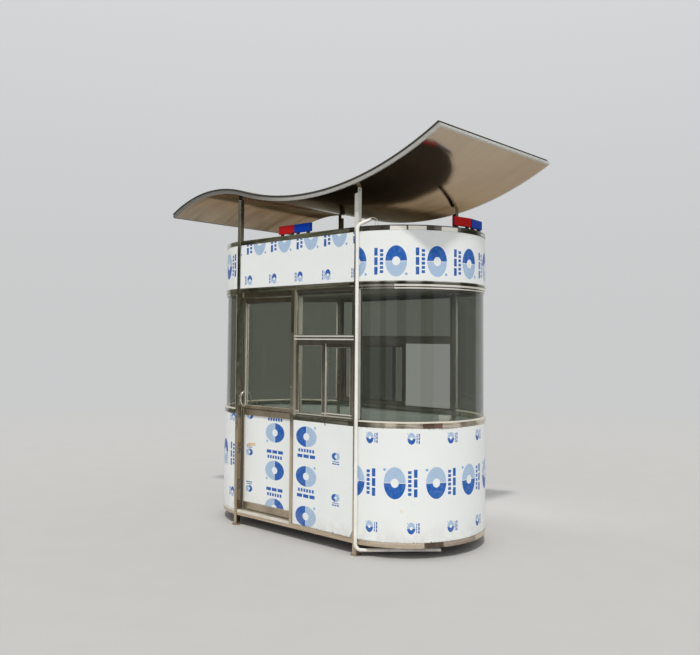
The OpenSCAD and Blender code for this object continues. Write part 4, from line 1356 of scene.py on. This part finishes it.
# %% Tree: a round bead along a path
def build_bead():
    graph, given, out = new_group(
        "bead_on_path", "GeometryNodeTree",
        [("Geometry", SHAPE, None), ("Radius", NUMBER, 0.002), ("Corner", NUMBER, 0.003),
         ("Sides", COUNT, 8), ("Finish", SKIN, None)], [("Geometry", SHAPE)])
    path = graph.node("GeometryNodeMeshToCurve", {"Mesh": given["Geometry"]}).outputs[0]
    path = graph.node("GeometryNodeFilletCurve", {"Curve": path, "Radius": given["Corner"], "Count": 2},
                      mode="POLY").outputs[0]
    ring = graph.node("GeometryNodeCurvePrimitiveCircle",
                      {"Resolution": given["Sides"], "Radius": given["Radius"]}, mode="RADIUS").outputs[0]
    swept = graph.node("GeometryNodeCurveToMesh",
                       {"Curve": path, "Profile Curve": ring, "Fill Caps": True})
    smooth = graph.node("GeometryNodeSetShadeSmooth", {"Geometry": swept.outputs[0]}).outputs[0]
    finished_tree(graph, smooth, given["Finish"], out)
    return graph.tree


BEAD = build_bead()
print("tree", BEAD.name)

# %% Where the panes are
UPPER_Z = (1.661, 2.015)
RAIL_Z = (1.047, 1.5687)
END_Z = (1.0196, 2.0164)
FRONT_UPPER = ((0.0469, 0.6699, *UPPER_Z), -0.6583, -0.6533)
FRONT_LEFT_SASH = ((0.0812, 0.3464, 1.033, 1.5827), -0.6633, -0.6583)
FRONT_RIGHT_SASH = ((0.3804, 0.6356, *RAIL_Z), -0.6467, -0.6417)
BACK_UPPER = ((-0.6581, 0.6699, *UPPER_Z), 0.6583, 0.6533)
BACK_FIXED_SASH = ((-0.6238, -0.0111, *RAIL_Z), 0.6633, 0.6583)
BACK_OPEN_SASH = ((-0.4921, 0.1206, *RAIL_Z), 0.6467, 0.6417)
WINDOW_PANES = (FRONT_UPPER, FRONT_LEFT_SASH, FRONT_RIGHT_SASH,
                BACK_UPPER, BACK_FIXED_SASH, BACK_OPEN_SASH)
DOOR_PANE = ((-0.6631, -0.0641, 1.045, 1.948), -0.5975, -0.5925)
print(len(WINDOW_PANES), "window panes; each has its opening and the depth of its outer and inner face")


# %% Paths round the panes
def wire_mesh(name, loops):
    """A mesh of edges only, from closed loops of points."""
    verts, edges = [], []
    for points in loops:
        first, count = len(verts), len(points)
        verts += [tuple(p) for p in points]
        edges += [(first + k, first + (k + 1) % count) for k in range(count)]
    mesh = bpy.data.meshes.new(name)
    mesh.from_pydata(verts, edges, [])
    return mesh


def window_loop(opening, inset, y):
    x0, x1, z0, z1 = opening
    x0, x1, z0, z1 = x0 + inset, x1 - inset, z0 + inset, z1 - inset
    return [(x0, y, z0), (x1, y, z0), (x1, y, z1), (x0, y, z1)]


BEAD_INSET, BEAD_LIFT = 0.0022, 0.0029
OUTER_INSET, OUTER_LIFT = 0.0052, 0.0006
INNER_INSET, INNER_LIFT = 0.0010, 0.0008


def pane_paths(panes):
    """Bead paths and rubber paths."""
    beads, rubber = [], []
    for opening, outer, inner in panes:
        out = 1 if outer > inner else -1
        beads.append(window_loop(opening, BEAD_INSET, outer + out * BEAD_LIFT))
        rubber.append(window_loop(opening, OUTER_INSET, outer + out * OUTER_LIFT))
        rubber.append(window_loop(opening, INNER_INSET, inner - out * INNER_LIFT))
    return beads, rubber


print("bead inset", BEAD_INSET, "rubber insets", OUTER_INSET, INNER_INSET)

# %% Paths round the end glass
GLASS_R = END_R + 0.0017 - 0.015
GLASS_T = 0.006
JAMB_X = POST_OUT + 0.018
RUBBER_OUT = 0.0006
HALF_STEPS = 30


def end_loop(side, radius):
    half = math.acos((JAMB_X - END_X) / GLASS_R) - 0.002
    turns = [half * (k / HALF_STEPS - 1) for k in range(2 * HALF_STEPS + 1)]
    ring = [(MID + side * (END_X + radius * math.cos(a)), radius * math.sin(a)) for a in turns]
    return [(x, y, END_Z[0]) for x, y in ring] + [(x, y, END_Z[1]) for x, y in reversed(ring)]


print("end glass radius", round(GLASS_R, 4))

# %% Beads and rubber
RUBBER = plain_part("black_rubber", (0.012, 0.012, 0.011), (0.03, 0.03, 0.028), 0.5,
                    speck=200, relief=0.3, reach=0.2, dust=0.2)
BRIGHT_BEAD = aluminium("bright_bead", (0.62, 0.60, 0.53), (0.80, 0.78, 0.70), 0.22)


def seal_panes(kind, beads, rubber, body, bead_slot):
    grow(kind + "_beads", wire_mesh(kind + "_bead_paths", beads), BEAD, body, bead_slot,
         Radius=0.0022, Corner=0.001, Finish=BRIGHT_BEAD)
    grow(kind + "_rubber", wire_mesh(kind + "_rubber_paths", rubber), BEAD, body, "dark_plastic",
         Radius=0.0014, Finish=RUBBER)


beads, rubber = pane_paths(WINDOW_PANES)
for side in SIDES:
    rubber += [end_loop(side, GLASS_R + RUBBER_OUT), end_loop(side, GLASS_R - GLASS_T - RUBBER_OUT)]
seal_panes("window", beads, rubber, "booth", "window_aluminium")
seal_panes("door", *pane_paths([DOOR_PANE]), "door", "door_aluminium")

# %% [markdown]
# Screws and bolts stand on points. Copies of a modelled head could be placed by hand, but a point can
# carry all that differs: which way its face looks and how large its head is, as two attributes. The
# tree turns each head that way and then round its own axis by chance, with a fixed seed. A screw's
# cross is a real recess, cut once into the head before it is repeated.


# %% Heads that stand on points
def number_on_point(graph, name, kind):
    return graph.node("GeometryNodeInputNamedAttribute", {"Name": name}, data_type=kind).outputs[0]


def set_on_points(graph, points, head, seed):
    facing = number_on_point(graph, "facing", "FLOAT_VECTOR")
    upright = graph.node("FunctionNodeAlignRotationToVector", {"Vector": facing}, axis="Z").outputs[0]
    chance = graph.node("FunctionNodeRandomValue", {3: 6.28, 8: seed}, data_type="FLOAT").outputs[1]
    turn = graph.node("FunctionNodeEulerToRotation", {0: graph.join(0.0, 0.0, chance)}).outputs[0]
    turned = graph.node("FunctionNodeRotateRotation", {0: upright, 1: turn}, rotation_space="LOCAL")
    size = number_on_point(graph, "size", "FLOAT")
    placed = graph.node("GeometryNodeInstanceOnPoints", {
        "Points": points, "Instance": head, "Rotation": turned.outputs[0],
        "Scale": graph.join(size, size, size)})
    return placed.outputs[0]


def cone(graph, sides, bottom, top, depth):
    made = graph.node("GeometryNodeMeshCone", {
        "Vertices": sides, "Radius Bottom": bottom, "Radius Top": top, "Depth": depth})
    return made.outputs[0]


def lifted(graph, shape, height):
    move = graph.join(0.0, 0.0, height)
    return graph.node("GeometryNodeTransform", {"Geometry": shape, "Translation": move}).outputs[0]


def gathered(graph, socket, shapes):
    """Link several shapes to a socket that takes more than one."""
    for shape in shapes:
        graph.tree.links.new(shape, socket)
    return socket.node.outputs[0]


print("each point carries its facing and its size")


# %% Trees: screw heads and bolt heads
def build_screws():
    graph, given, out = new_group(
        "screw_heads", "GeometryNodeTree",
        [("Geometry", SHAPE, None), ("Dome", NUMBER, 0.36), ("Recess", NUMBER, 0.22), ("Seed", COUNT, 1),
         ("Finish", SKIN, None)], [("Geometry", SHAPE)])
    dome = cone(graph, 16, 1.0, 0.78, given["Dome"])
    bars = [graph.node("GeometryNodeMeshCube", {"Size": graph.join(*size)}).outputs[0]
            for size in ((1.1, given["Recess"], 0.5), (given["Recess"], 1.1, 0.5))]
    cross = [lifted(graph, bar, graph.plus(given["Dome"], 0.08)) for bar in bars]
    cut = graph.node("GeometryNodeMeshBoolean", {"Mesh 1": dome}, operation="DIFFERENCE")
    head = gathered(graph, cut.inputs["Mesh 2"], cross)
    placed = set_on_points(graph, given["Geometry"], head, given["Seed"])
    finished_tree(graph, placed, given["Finish"], out)
    return graph.tree


def build_bolts():
    graph, given, out = new_group(
        "bolt_heads", "GeometryNodeTree",
        [("Geometry", SHAPE, None), ("Height", NUMBER, 0.62), ("Washer", NUMBER, 1.7), ("Seed", COUNT, 1),
         ("Finish", SKIN, None)], [("Geometry", SHAPE)])
    washer = cone(graph, 24, given["Washer"], given["Washer"], 0.22)
    nut = cone(graph, 6, 1.15, 1.15, given["Height"])
    crown = lifted(graph, cone(graph, 6, 1.15, 0.86, 0.12), given["Height"])
    joined = graph.node("GeometryNodeJoinGeometry").inputs[0]
    head = gathered(graph, joined, (crown, nut, washer))
    placed = set_on_points(graph, given["Geometry"], head, given["Seed"])
    finished_tree(graph, placed, given["Finish"], out)
    return graph.tree


SCREWS = build_screws()
BOLTS = build_bolts()
print("trees", SCREWS.name, BOLTS.name)


# %% Spots for screws and bolts
def points_mesh(name, spots):
    """Each spot is a place, the way its face looks, and a head radius."""
    mesh = bpy.data.meshes.new(name)
    mesh.from_pydata([spot[0] for spot in spots], [], [])
    mesh.attributes.new("facing", "FLOAT_VECTOR", "POINT")
    mesh.attributes.new("size", "FLOAT", "POINT")
    mesh.attributes["facing"].data.foreach_set("vector", [c for spot in spots for c in spot[1]])
    mesh.attributes["size"].data.foreach_set("value", [spot[2] for spot in spots])
    return mesh


FRONT_WAY, BACK_WAY, UP = (0, -1, 0), (0, 1, 0), (0, 0, 1)
SCREW_STEEL = plain_part("screw_steel", (0.34, 0.33, 0.30), (0.52, 0.50, 0.46), 0.3,
                         speck=300, relief=0.1, reach=0.15, dust=0.5, metal=0.9)
print("finish", SCREW_STEEL.name)

# %% Screws on the booth
FRAME_SCREW_Z = (1.10, 1.32, 1.54, 1.72, 1.98)
FRAME_INSET, FRAME_SCREW_R = 0.011, 0.0034
THRESHOLD_SCREW_X = (-0.62, -0.42, -0.22, -0.03)
THRESHOLD_SCREW_R = 0.0040
CLIP_SCREW_Z = (0.40, 1.15, 1.90)
CLIP_SCREW_R = 0.0038
frame_low, frame_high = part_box("front_window_frame")
rear_low, rear_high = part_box("back_window_frame")
sill_low, sill_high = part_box("door_threshold")
clip_x, clip_y = MID + POST_OUT - 0.0155, -POST_FACE - 0.003
still = []
for z in FRAME_SCREW_Z:
    for x in (frame_low.x + FRAME_INSET, frame_high.x - FRAME_INSET):
        still.append(((x, frame_low.y, z), FRONT_WAY, FRAME_SCREW_R))
    for x in (rear_low.x + FRAME_INSET, rear_high.x - FRAME_INSET):
        still.append(((x, rear_high.y, z), BACK_WAY, FRAME_SCREW_R))
for x in THRESHOLD_SCREW_X:
    still.append(((x, (sill_low.y + sill_high.y) / 2, sill_high.z), UP, THRESHOLD_SCREW_R))
still += [((clip_x, clip_y, z), FRONT_WAY, CLIP_SCREW_R) for z in CLIP_SCREW_Z]
grow("screws_on_booth", points_mesh("booth_screw_spots", still), SCREWS, "booth", "stainless",
     Seed=3, Finish=SCREW_STEEL)

# %% Screws on the door
LEAF_SCREW_R = 0.0036
HANGER_IN, HANGER_DROPS, HANGER_SCREW_R = 0.100, (0.012, 0.028), 0.0042
leaf_low, leaf_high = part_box("door_frame")
moving = []
for z in (leaf_low.z + 0.029, 0.985, 1.020, leaf_high.z - 0.019):
    for x in (leaf_low.x + 0.018, leaf_high.x - 0.045):
        moving.append(((x, leaf_low.y, z), FRONT_WAY, LEAF_SCREW_R))
        moving.append(((x, leaf_high.y, z), BACK_WAY, LEAF_SCREW_R))
for x in (leaf_low.x + HANGER_IN, leaf_high.x - HANGER_IN):
    moving += [((x, leaf_high.y, leaf_high.z - drop), BACK_WAY, HANGER_SCREW_R) for drop in HANGER_DROPS]
grow("screws_on_door", points_mesh("door_screw_spots", moving), SCREWS, "door", "stainless",
     Seed=5, Finish=SCREW_STEEL)

# %% Bolts at the feet and the canopy
FOOT_BOLT_OUT, FOOT_BOLT_R = 0.030, 0.0034
CANOPY_BOLT_Z, CANOPY_BOLT_R = {-1: 2.90, 1: 2.786}, 0.0044
foot_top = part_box("foot_flanges")[1].z
bolts = []
for x_side, y_side in CORNERS:
    x, y = MID + x_side * (POST_OUT - POST / 2), y_side * (POST_FACE - POST / 2)
    for across, along in ((-1, 0), (1, 0), (0, -1), (0, 1)):
        foot_place = (x + across * FOOT_BOLT_OUT, y + along * FOOT_BOLT_OUT, foot_top)
        bolts.append((foot_place, UP, FOOT_BOLT_R))
    high_place = (MID + x_side * POST_OUT, y_side * (POST_FACE - 0.015), CANOPY_BOLT_Z[x_side])
    bolts.append((high_place, (x_side, 0, 0), CANOPY_BOLT_R))
grow("foot_and_canopy_bolts", points_mesh("bolt_spots", bolts), BOLTS, "booth", "stainless",
     Seed=7, Finish=SCREW_STEEL)

# %% [markdown]
# Rails and posts are welded, and the welds were brushed but not ground away. A bump on the joint could
# stand for them, but it would be lost in the exported shapes. A weld is a row of overlapping ripples,
# so a tree walks along each joint, drops a small round bead every few millimetres and lets chance vary
# its size.


# %% Tree: weld ripples
def build_weld():
    graph, given, out = new_group(
        "weld_ripples", "GeometryNodeTree",
        [("Geometry", SHAPE, None), ("Radius", NUMBER, 0.0014), ("Step", NUMBER, 0.0022),
         ("Seed", COUNT, 1), ("Finish", SKIN, None)], [("Geometry", SHAPE)])
    path = graph.node("GeometryNodeMeshToCurve", {"Mesh": given["Geometry"]}).outputs[0]
    steps = graph.node("GeometryNodeResampleCurve", {"Curve": path, "Length": given["Step"]},
                       mode="LENGTH").outputs[0]
    drop = graph.node("GeometryNodeMeshIcoSphere",
                      {"Radius": given["Radius"], "Subdivisions": 1}).outputs[0]
    chance = graph.node("FunctionNodeRandomValue", {2: 0.75, 3: 1.1, 8: given["Seed"]}, data_type="FLOAT")
    size = chance.outputs[1]
    ripples = graph.node("GeometryNodeInstanceOnPoints", {
        "Points": steps, "Instance": drop, "Scale": graph.join(size, size, size)})
    smooth = graph.node("GeometryNodeSetShadeSmooth", {"Geometry": ripples.outputs[0]}).outputs[0]
    finished_tree(graph, smooth, given["Finish"], out)
    return graph.tree


WELD = build_weld()
print("tree", WELD.name)

# %% Welds
JOINT_OUT = 0.0004
FOOT_WELD_Z = 0.0064
DOOR_SIDE = (-1, -1)
WELD_STEEL = plain_part("brushed_weld", (0.30, 0.27, 0.22), (0.50, 0.46, 0.39), 0.35,
                        speck=400, reach=0.2, dust=0.5, metal=0.9)


def square_loop(x, y0, y1, z0, z1):
    return [(x, y0, z0), (x, y1, z0), (x, y1, z1), (x, y0, z1)]


joints = []
for rail in ("bottom_rail", "sill_rail", "head_rail", "top_rail"):
    low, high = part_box(rail)
    for x_side, y_side in CORNERS:
        outer, inner = y_side * RAIL_FACE, y_side * (RAIL_FACE - POST)
        joints.append(square_loop(MID + x_side * (POST_OUT + JOINT_OUT), inner, outer, low.z, high.z))
        if rail != "sill_rail" or (x_side, y_side) != DOOR_SIDE:
            joints.append(square_loop(MID + x_side * (POST_IN - JOINT_OUT), inner, outer, low.z, high.z))
for x_side, y_side in CORNERS:
    x0, x1 = MID + x_side * POST_IN, MID + x_side * POST_OUT
    y0, y1 = y_side * (POST_FACE - POST), y_side * POST_FACE
    joints.append([(x, y, FOOT_WELD_Z) for x, y in ((x0, y0), (x1, y0), (x1, y1), (x0, y1))])
grow("welds", wire_mesh("joint_paths", joints), WELD, "booth", "stainless", Seed=11, Finish=WELD_STEEL)

# %% [markdown]
# Two white wires come out of the conduit's mouth and drop onto the roof, and a thin lead hangs from the
# socket box inside. They could be swept meshes, but each is a free cord of a known length, and a curve
# with a round bevel suits it, because its own line is what is measured.


# %% Making a cord
def cord_piece(name, points, diameter):
    line = bpy.data.curves.new(name, "CURVE")
    line.dimensions = "3D"
    line.bevel_depth = diameter / 2
    line.bevel_resolution = 3
    line.use_fill_caps = True
    line.materials.append(WHITE_PLASTIC)
    spline = line.splines.new("POLY")
    spline.points.add(len(points) - 1)
    for point, place in zip(spline.points, points):
        point.co = (*place, 1)
    piece = hand_over(link(bpy.data.objects.new(name, line)), "white_pvc", "booth")
    length = sum((Vector(b) - Vector(a)).length for a, b in zip(points, points[1:]))
    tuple(points[0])
    print(name, "length", round(length, 4), "points", len(points))
    return piece


# %% Wires to the roof
PIPE_X, PIPE_Y, PIPE_TOP = MID + POST_OUT + 0.007, -POST_FACE - 0.015, 2.477
PIPE_BEND = 0.048
PIPE_TURN = math.radians(65)
PIPE_MOUTH = 0.084
PIPE_LEAD = math.radians(45)
WIRE_D = 0.005
ROOF_Z = BODY_TOP - 0.005
WIRE_BENDS = ((-0.0087, 0.040), (0.0087, 0.020))
BEND_STEPS = 16


def in_pipe_plane(a, b):
    """From the mouth's own plane to the booth: along to the mouth, round the bend, along the lead."""
    a, b = a - PIPE_BEND, b + PIPE_MOUTH
    run = PIPE_BEND + a * math.cos(PIPE_TURN) + b * math.sin(PIPE_TURN)
    rise = PIPE_TOP - a * math.sin(PIPE_TURN) + b * math.cos(PIPE_TURN)
    return PIPE_X + run * math.cos(PIPE_LEAD), PIPE_Y + run * math.sin(PIPE_LEAD), rise


def wire_route(side, bend):
    """Straight in the pipe, round its own bend outside the mouth, and straight down to the roof."""
    turn = math.pi - PIPE_TURN
    middle = side + bend
    route = [(side, -0.027), (side, -0.013)]
    for k in range(BEND_STEPS + 1):
        at = math.pi - turn * k / BEND_STEPS
        route.append((middle + bend * math.cos(at), bend * math.sin(at)))
    drop = in_pipe_plane(middle, 0)[2] - ROOF_Z - 0.0003
    for run in (0.5 * drop, drop):
        route.append((middle - bend * math.cos(turn) + run * math.sin(turn),
                      bend * math.sin(turn) + run * math.cos(turn)))
    return [in_pipe_plane(*place) for place in route]


first_wire = cord_piece("roof_wire_1", wire_route(*WIRE_BENDS[0]), WIRE_D)
cord_piece("roof_wire_2", wire_route(*WIRE_BENDS[1]), WIRE_D)
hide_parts("roof_wires")


# %% Lead of the socket box
def smooth_route(marks, count):
    """Points on a smooth line through the marks."""
    marks = [Vector(m) for m in marks]
    padded = [2 * marks[0] - marks[1], *marks, 2 * marks[-1] - marks[-2]]
    points = []
    for k in range(count):
        at = k * (len(marks) - 1) / (count - 1)
        n = min(int(at), len(marks) - 2)
        t = at - n
        p0, p1, p2, p3 = padded[n:n + 4]
        points.append(tuple(0.5 * (2 * p1 + (p2 - p0) * t + (2 * p0 - 5 * p1 + 4 * p2 - p3) * t * t
                                   + (3 * p1 - p0 - 3 * p2 + p3) * t ** 3)))
    return points


LEAD_D = 0.006
LEAD_POINTS = 39
LEAD_MARKS = [
    (0.662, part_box("socket_box")[0].y, 0.940), (0.664, 0.592, 0.948), (0.680, 0.579, 0.961),
    (0.704, 0.571, 0.965), (0.728, 0.568, 0.953), (0.742, 0.569, 0.925), (0.746, 0.572, 0.885),
    (0.745, 0.578, 0.76), (0.744, 0.582, 0.60), (0.744, 0.585, 0.44), (0.744, 0.588, 0.28),
    (0.744, 0.590, 0.1265)]
cord_piece("socket_lead", smooth_route(LEAD_MARKS, LEAD_POINTS), LEAD_D)

# %% [markdown]
# A few things are there by use and not by plan: a piece of tape stuck on the door's film, the end of a
# pile seal that has slipped out under the sashes, and the pile seal between the post and the door.
# Boxes would look too clean. Each is a thin strip that follows a line, with a little noise, so one
# function makes them.

# %% Strips
STRIP_COLUMNS = 7


def strip_grid(line, across, ragged, wave):
    """Points and faces of a strip; across gives its half width as a vector."""
    along = (Vector(line[-1]) - Vector(line[0])).normalized()
    out = across.cross(along).normalized()
    verts = []
    for i, place in enumerate(line):
        for k in range(STRIP_COLUMNS):
            share = k / 3 - 1
            end = i in (0, len(line) - 1)
            tear = ragged * noise.noise(Vector((k * 3.1, i * 1.7, 2.0))) if end else 0.0
            lift = wave * (0.5 + 0.5 * noise.noise(Vector((i * 0.37, k * 0.6, 5.0))))
            verts.append(Vector(place) + across * share + along * tear + out * lift)
    corners = [i * STRIP_COLUMNS + k for i in range(len(line) - 1) for k in range(STRIP_COLUMNS - 1)]
    return verts, [(a, a + 1, a + STRIP_COLUMNS + 1, a + STRIP_COLUMNS) for a in corners]


def strip(name, line, across, thick, skin, body, slot, ragged=0.0, wave=0.0):
    """A thin strip along a line, whose ends may be ragged and whose face may be wavy."""
    piece = mesh_object(name, *strip_grid(line, Vector(across), ragged, wave), skin)
    thicken(piece, thick, 0)
    print(name, round((Vector(line[-1]) - Vector(line[0])).length, 3), "m long")
    return hand_over(piece, slot, body)


# %% Finishes: tape and pile
def tape_finish():
    made, graph, skin, place = start_finish("masking_tape")
    crepe = graph.grain(place, (420, 60, 60))
    blots = graph.ramp(graph.grain(place, (70, 12, 12)), 0.50, 0.60)
    colour = graph.mix(crepe, (0.66, 0.52, 0.34), (0.84, 0.72, 0.52))
    colour = graph.mix(graph.times(blots, 0.75), colour, (0.78, 0.36, 0.09))
    graph.feed(skin, Base_Color=colour, Roughness=0.6, Normal=bump(graph, crepe, 0.3, 0.0004))
    return made


def pile_finish():
    made, graph, skin, place = start_finish("pile_seal")
    pile = graph.grain(place, (300, 300, 900))
    colour = graph.mix(pile, (0.025, 0.021, 0.017), (0.11, 0.095, 0.075))
    graph.feed(skin, Base_Color=colour, Roughness=0.85, Normal=bump(graph, pile, 0.5, 0.001))
    return made


TAPE, PILE = tape_finish(), pile_finish()
print("finishes", TAPE.name, PILE.name)

# %% Tape and seals
tape_y = leaf_low.y + 0.010 - LIFT - 0.0006
seal_x = MID - POST_IN + 0.0022


def slip_point(k):
    return 0.3690 + 0.0014 * k, -0.6744 - 0.0011 * math.sin(0.35 * k), 1.0050 - 0.0030 * k


strip("film_tape", [(-0.622 + 0.0045 * k, tape_y, 0.697 + 0.0006 * k) for k in range(24)], (0, 0, 0.013),
      0.0004, TAPE, "door", "filmed_panel", ragged=0.012, wave=-0.0006)
strip("slipped_seal", [slip_point(k) for k in range(19)], (0.0032, 0, 0.0012),
      0.0016, PILE, "booth", "dark_plastic", ragged=0.003)
strip("post_pile_seal", [(seal_x, -0.6285, 0.134 + 0.0185 * k) for k in range(101)], (0, 0.0075, 0),
      0.0036, PILE, "booth", "dark_plastic", wave=0.0012)

# %% [markdown]
# The last cell gathers both boxes, the solids' and the dressed booth's, and prints the dressed one.

# %% Finish
sizes = {"cad": cad_box, "visual": box_as_lists(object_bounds())}
print("visual box", sizes["visual"])
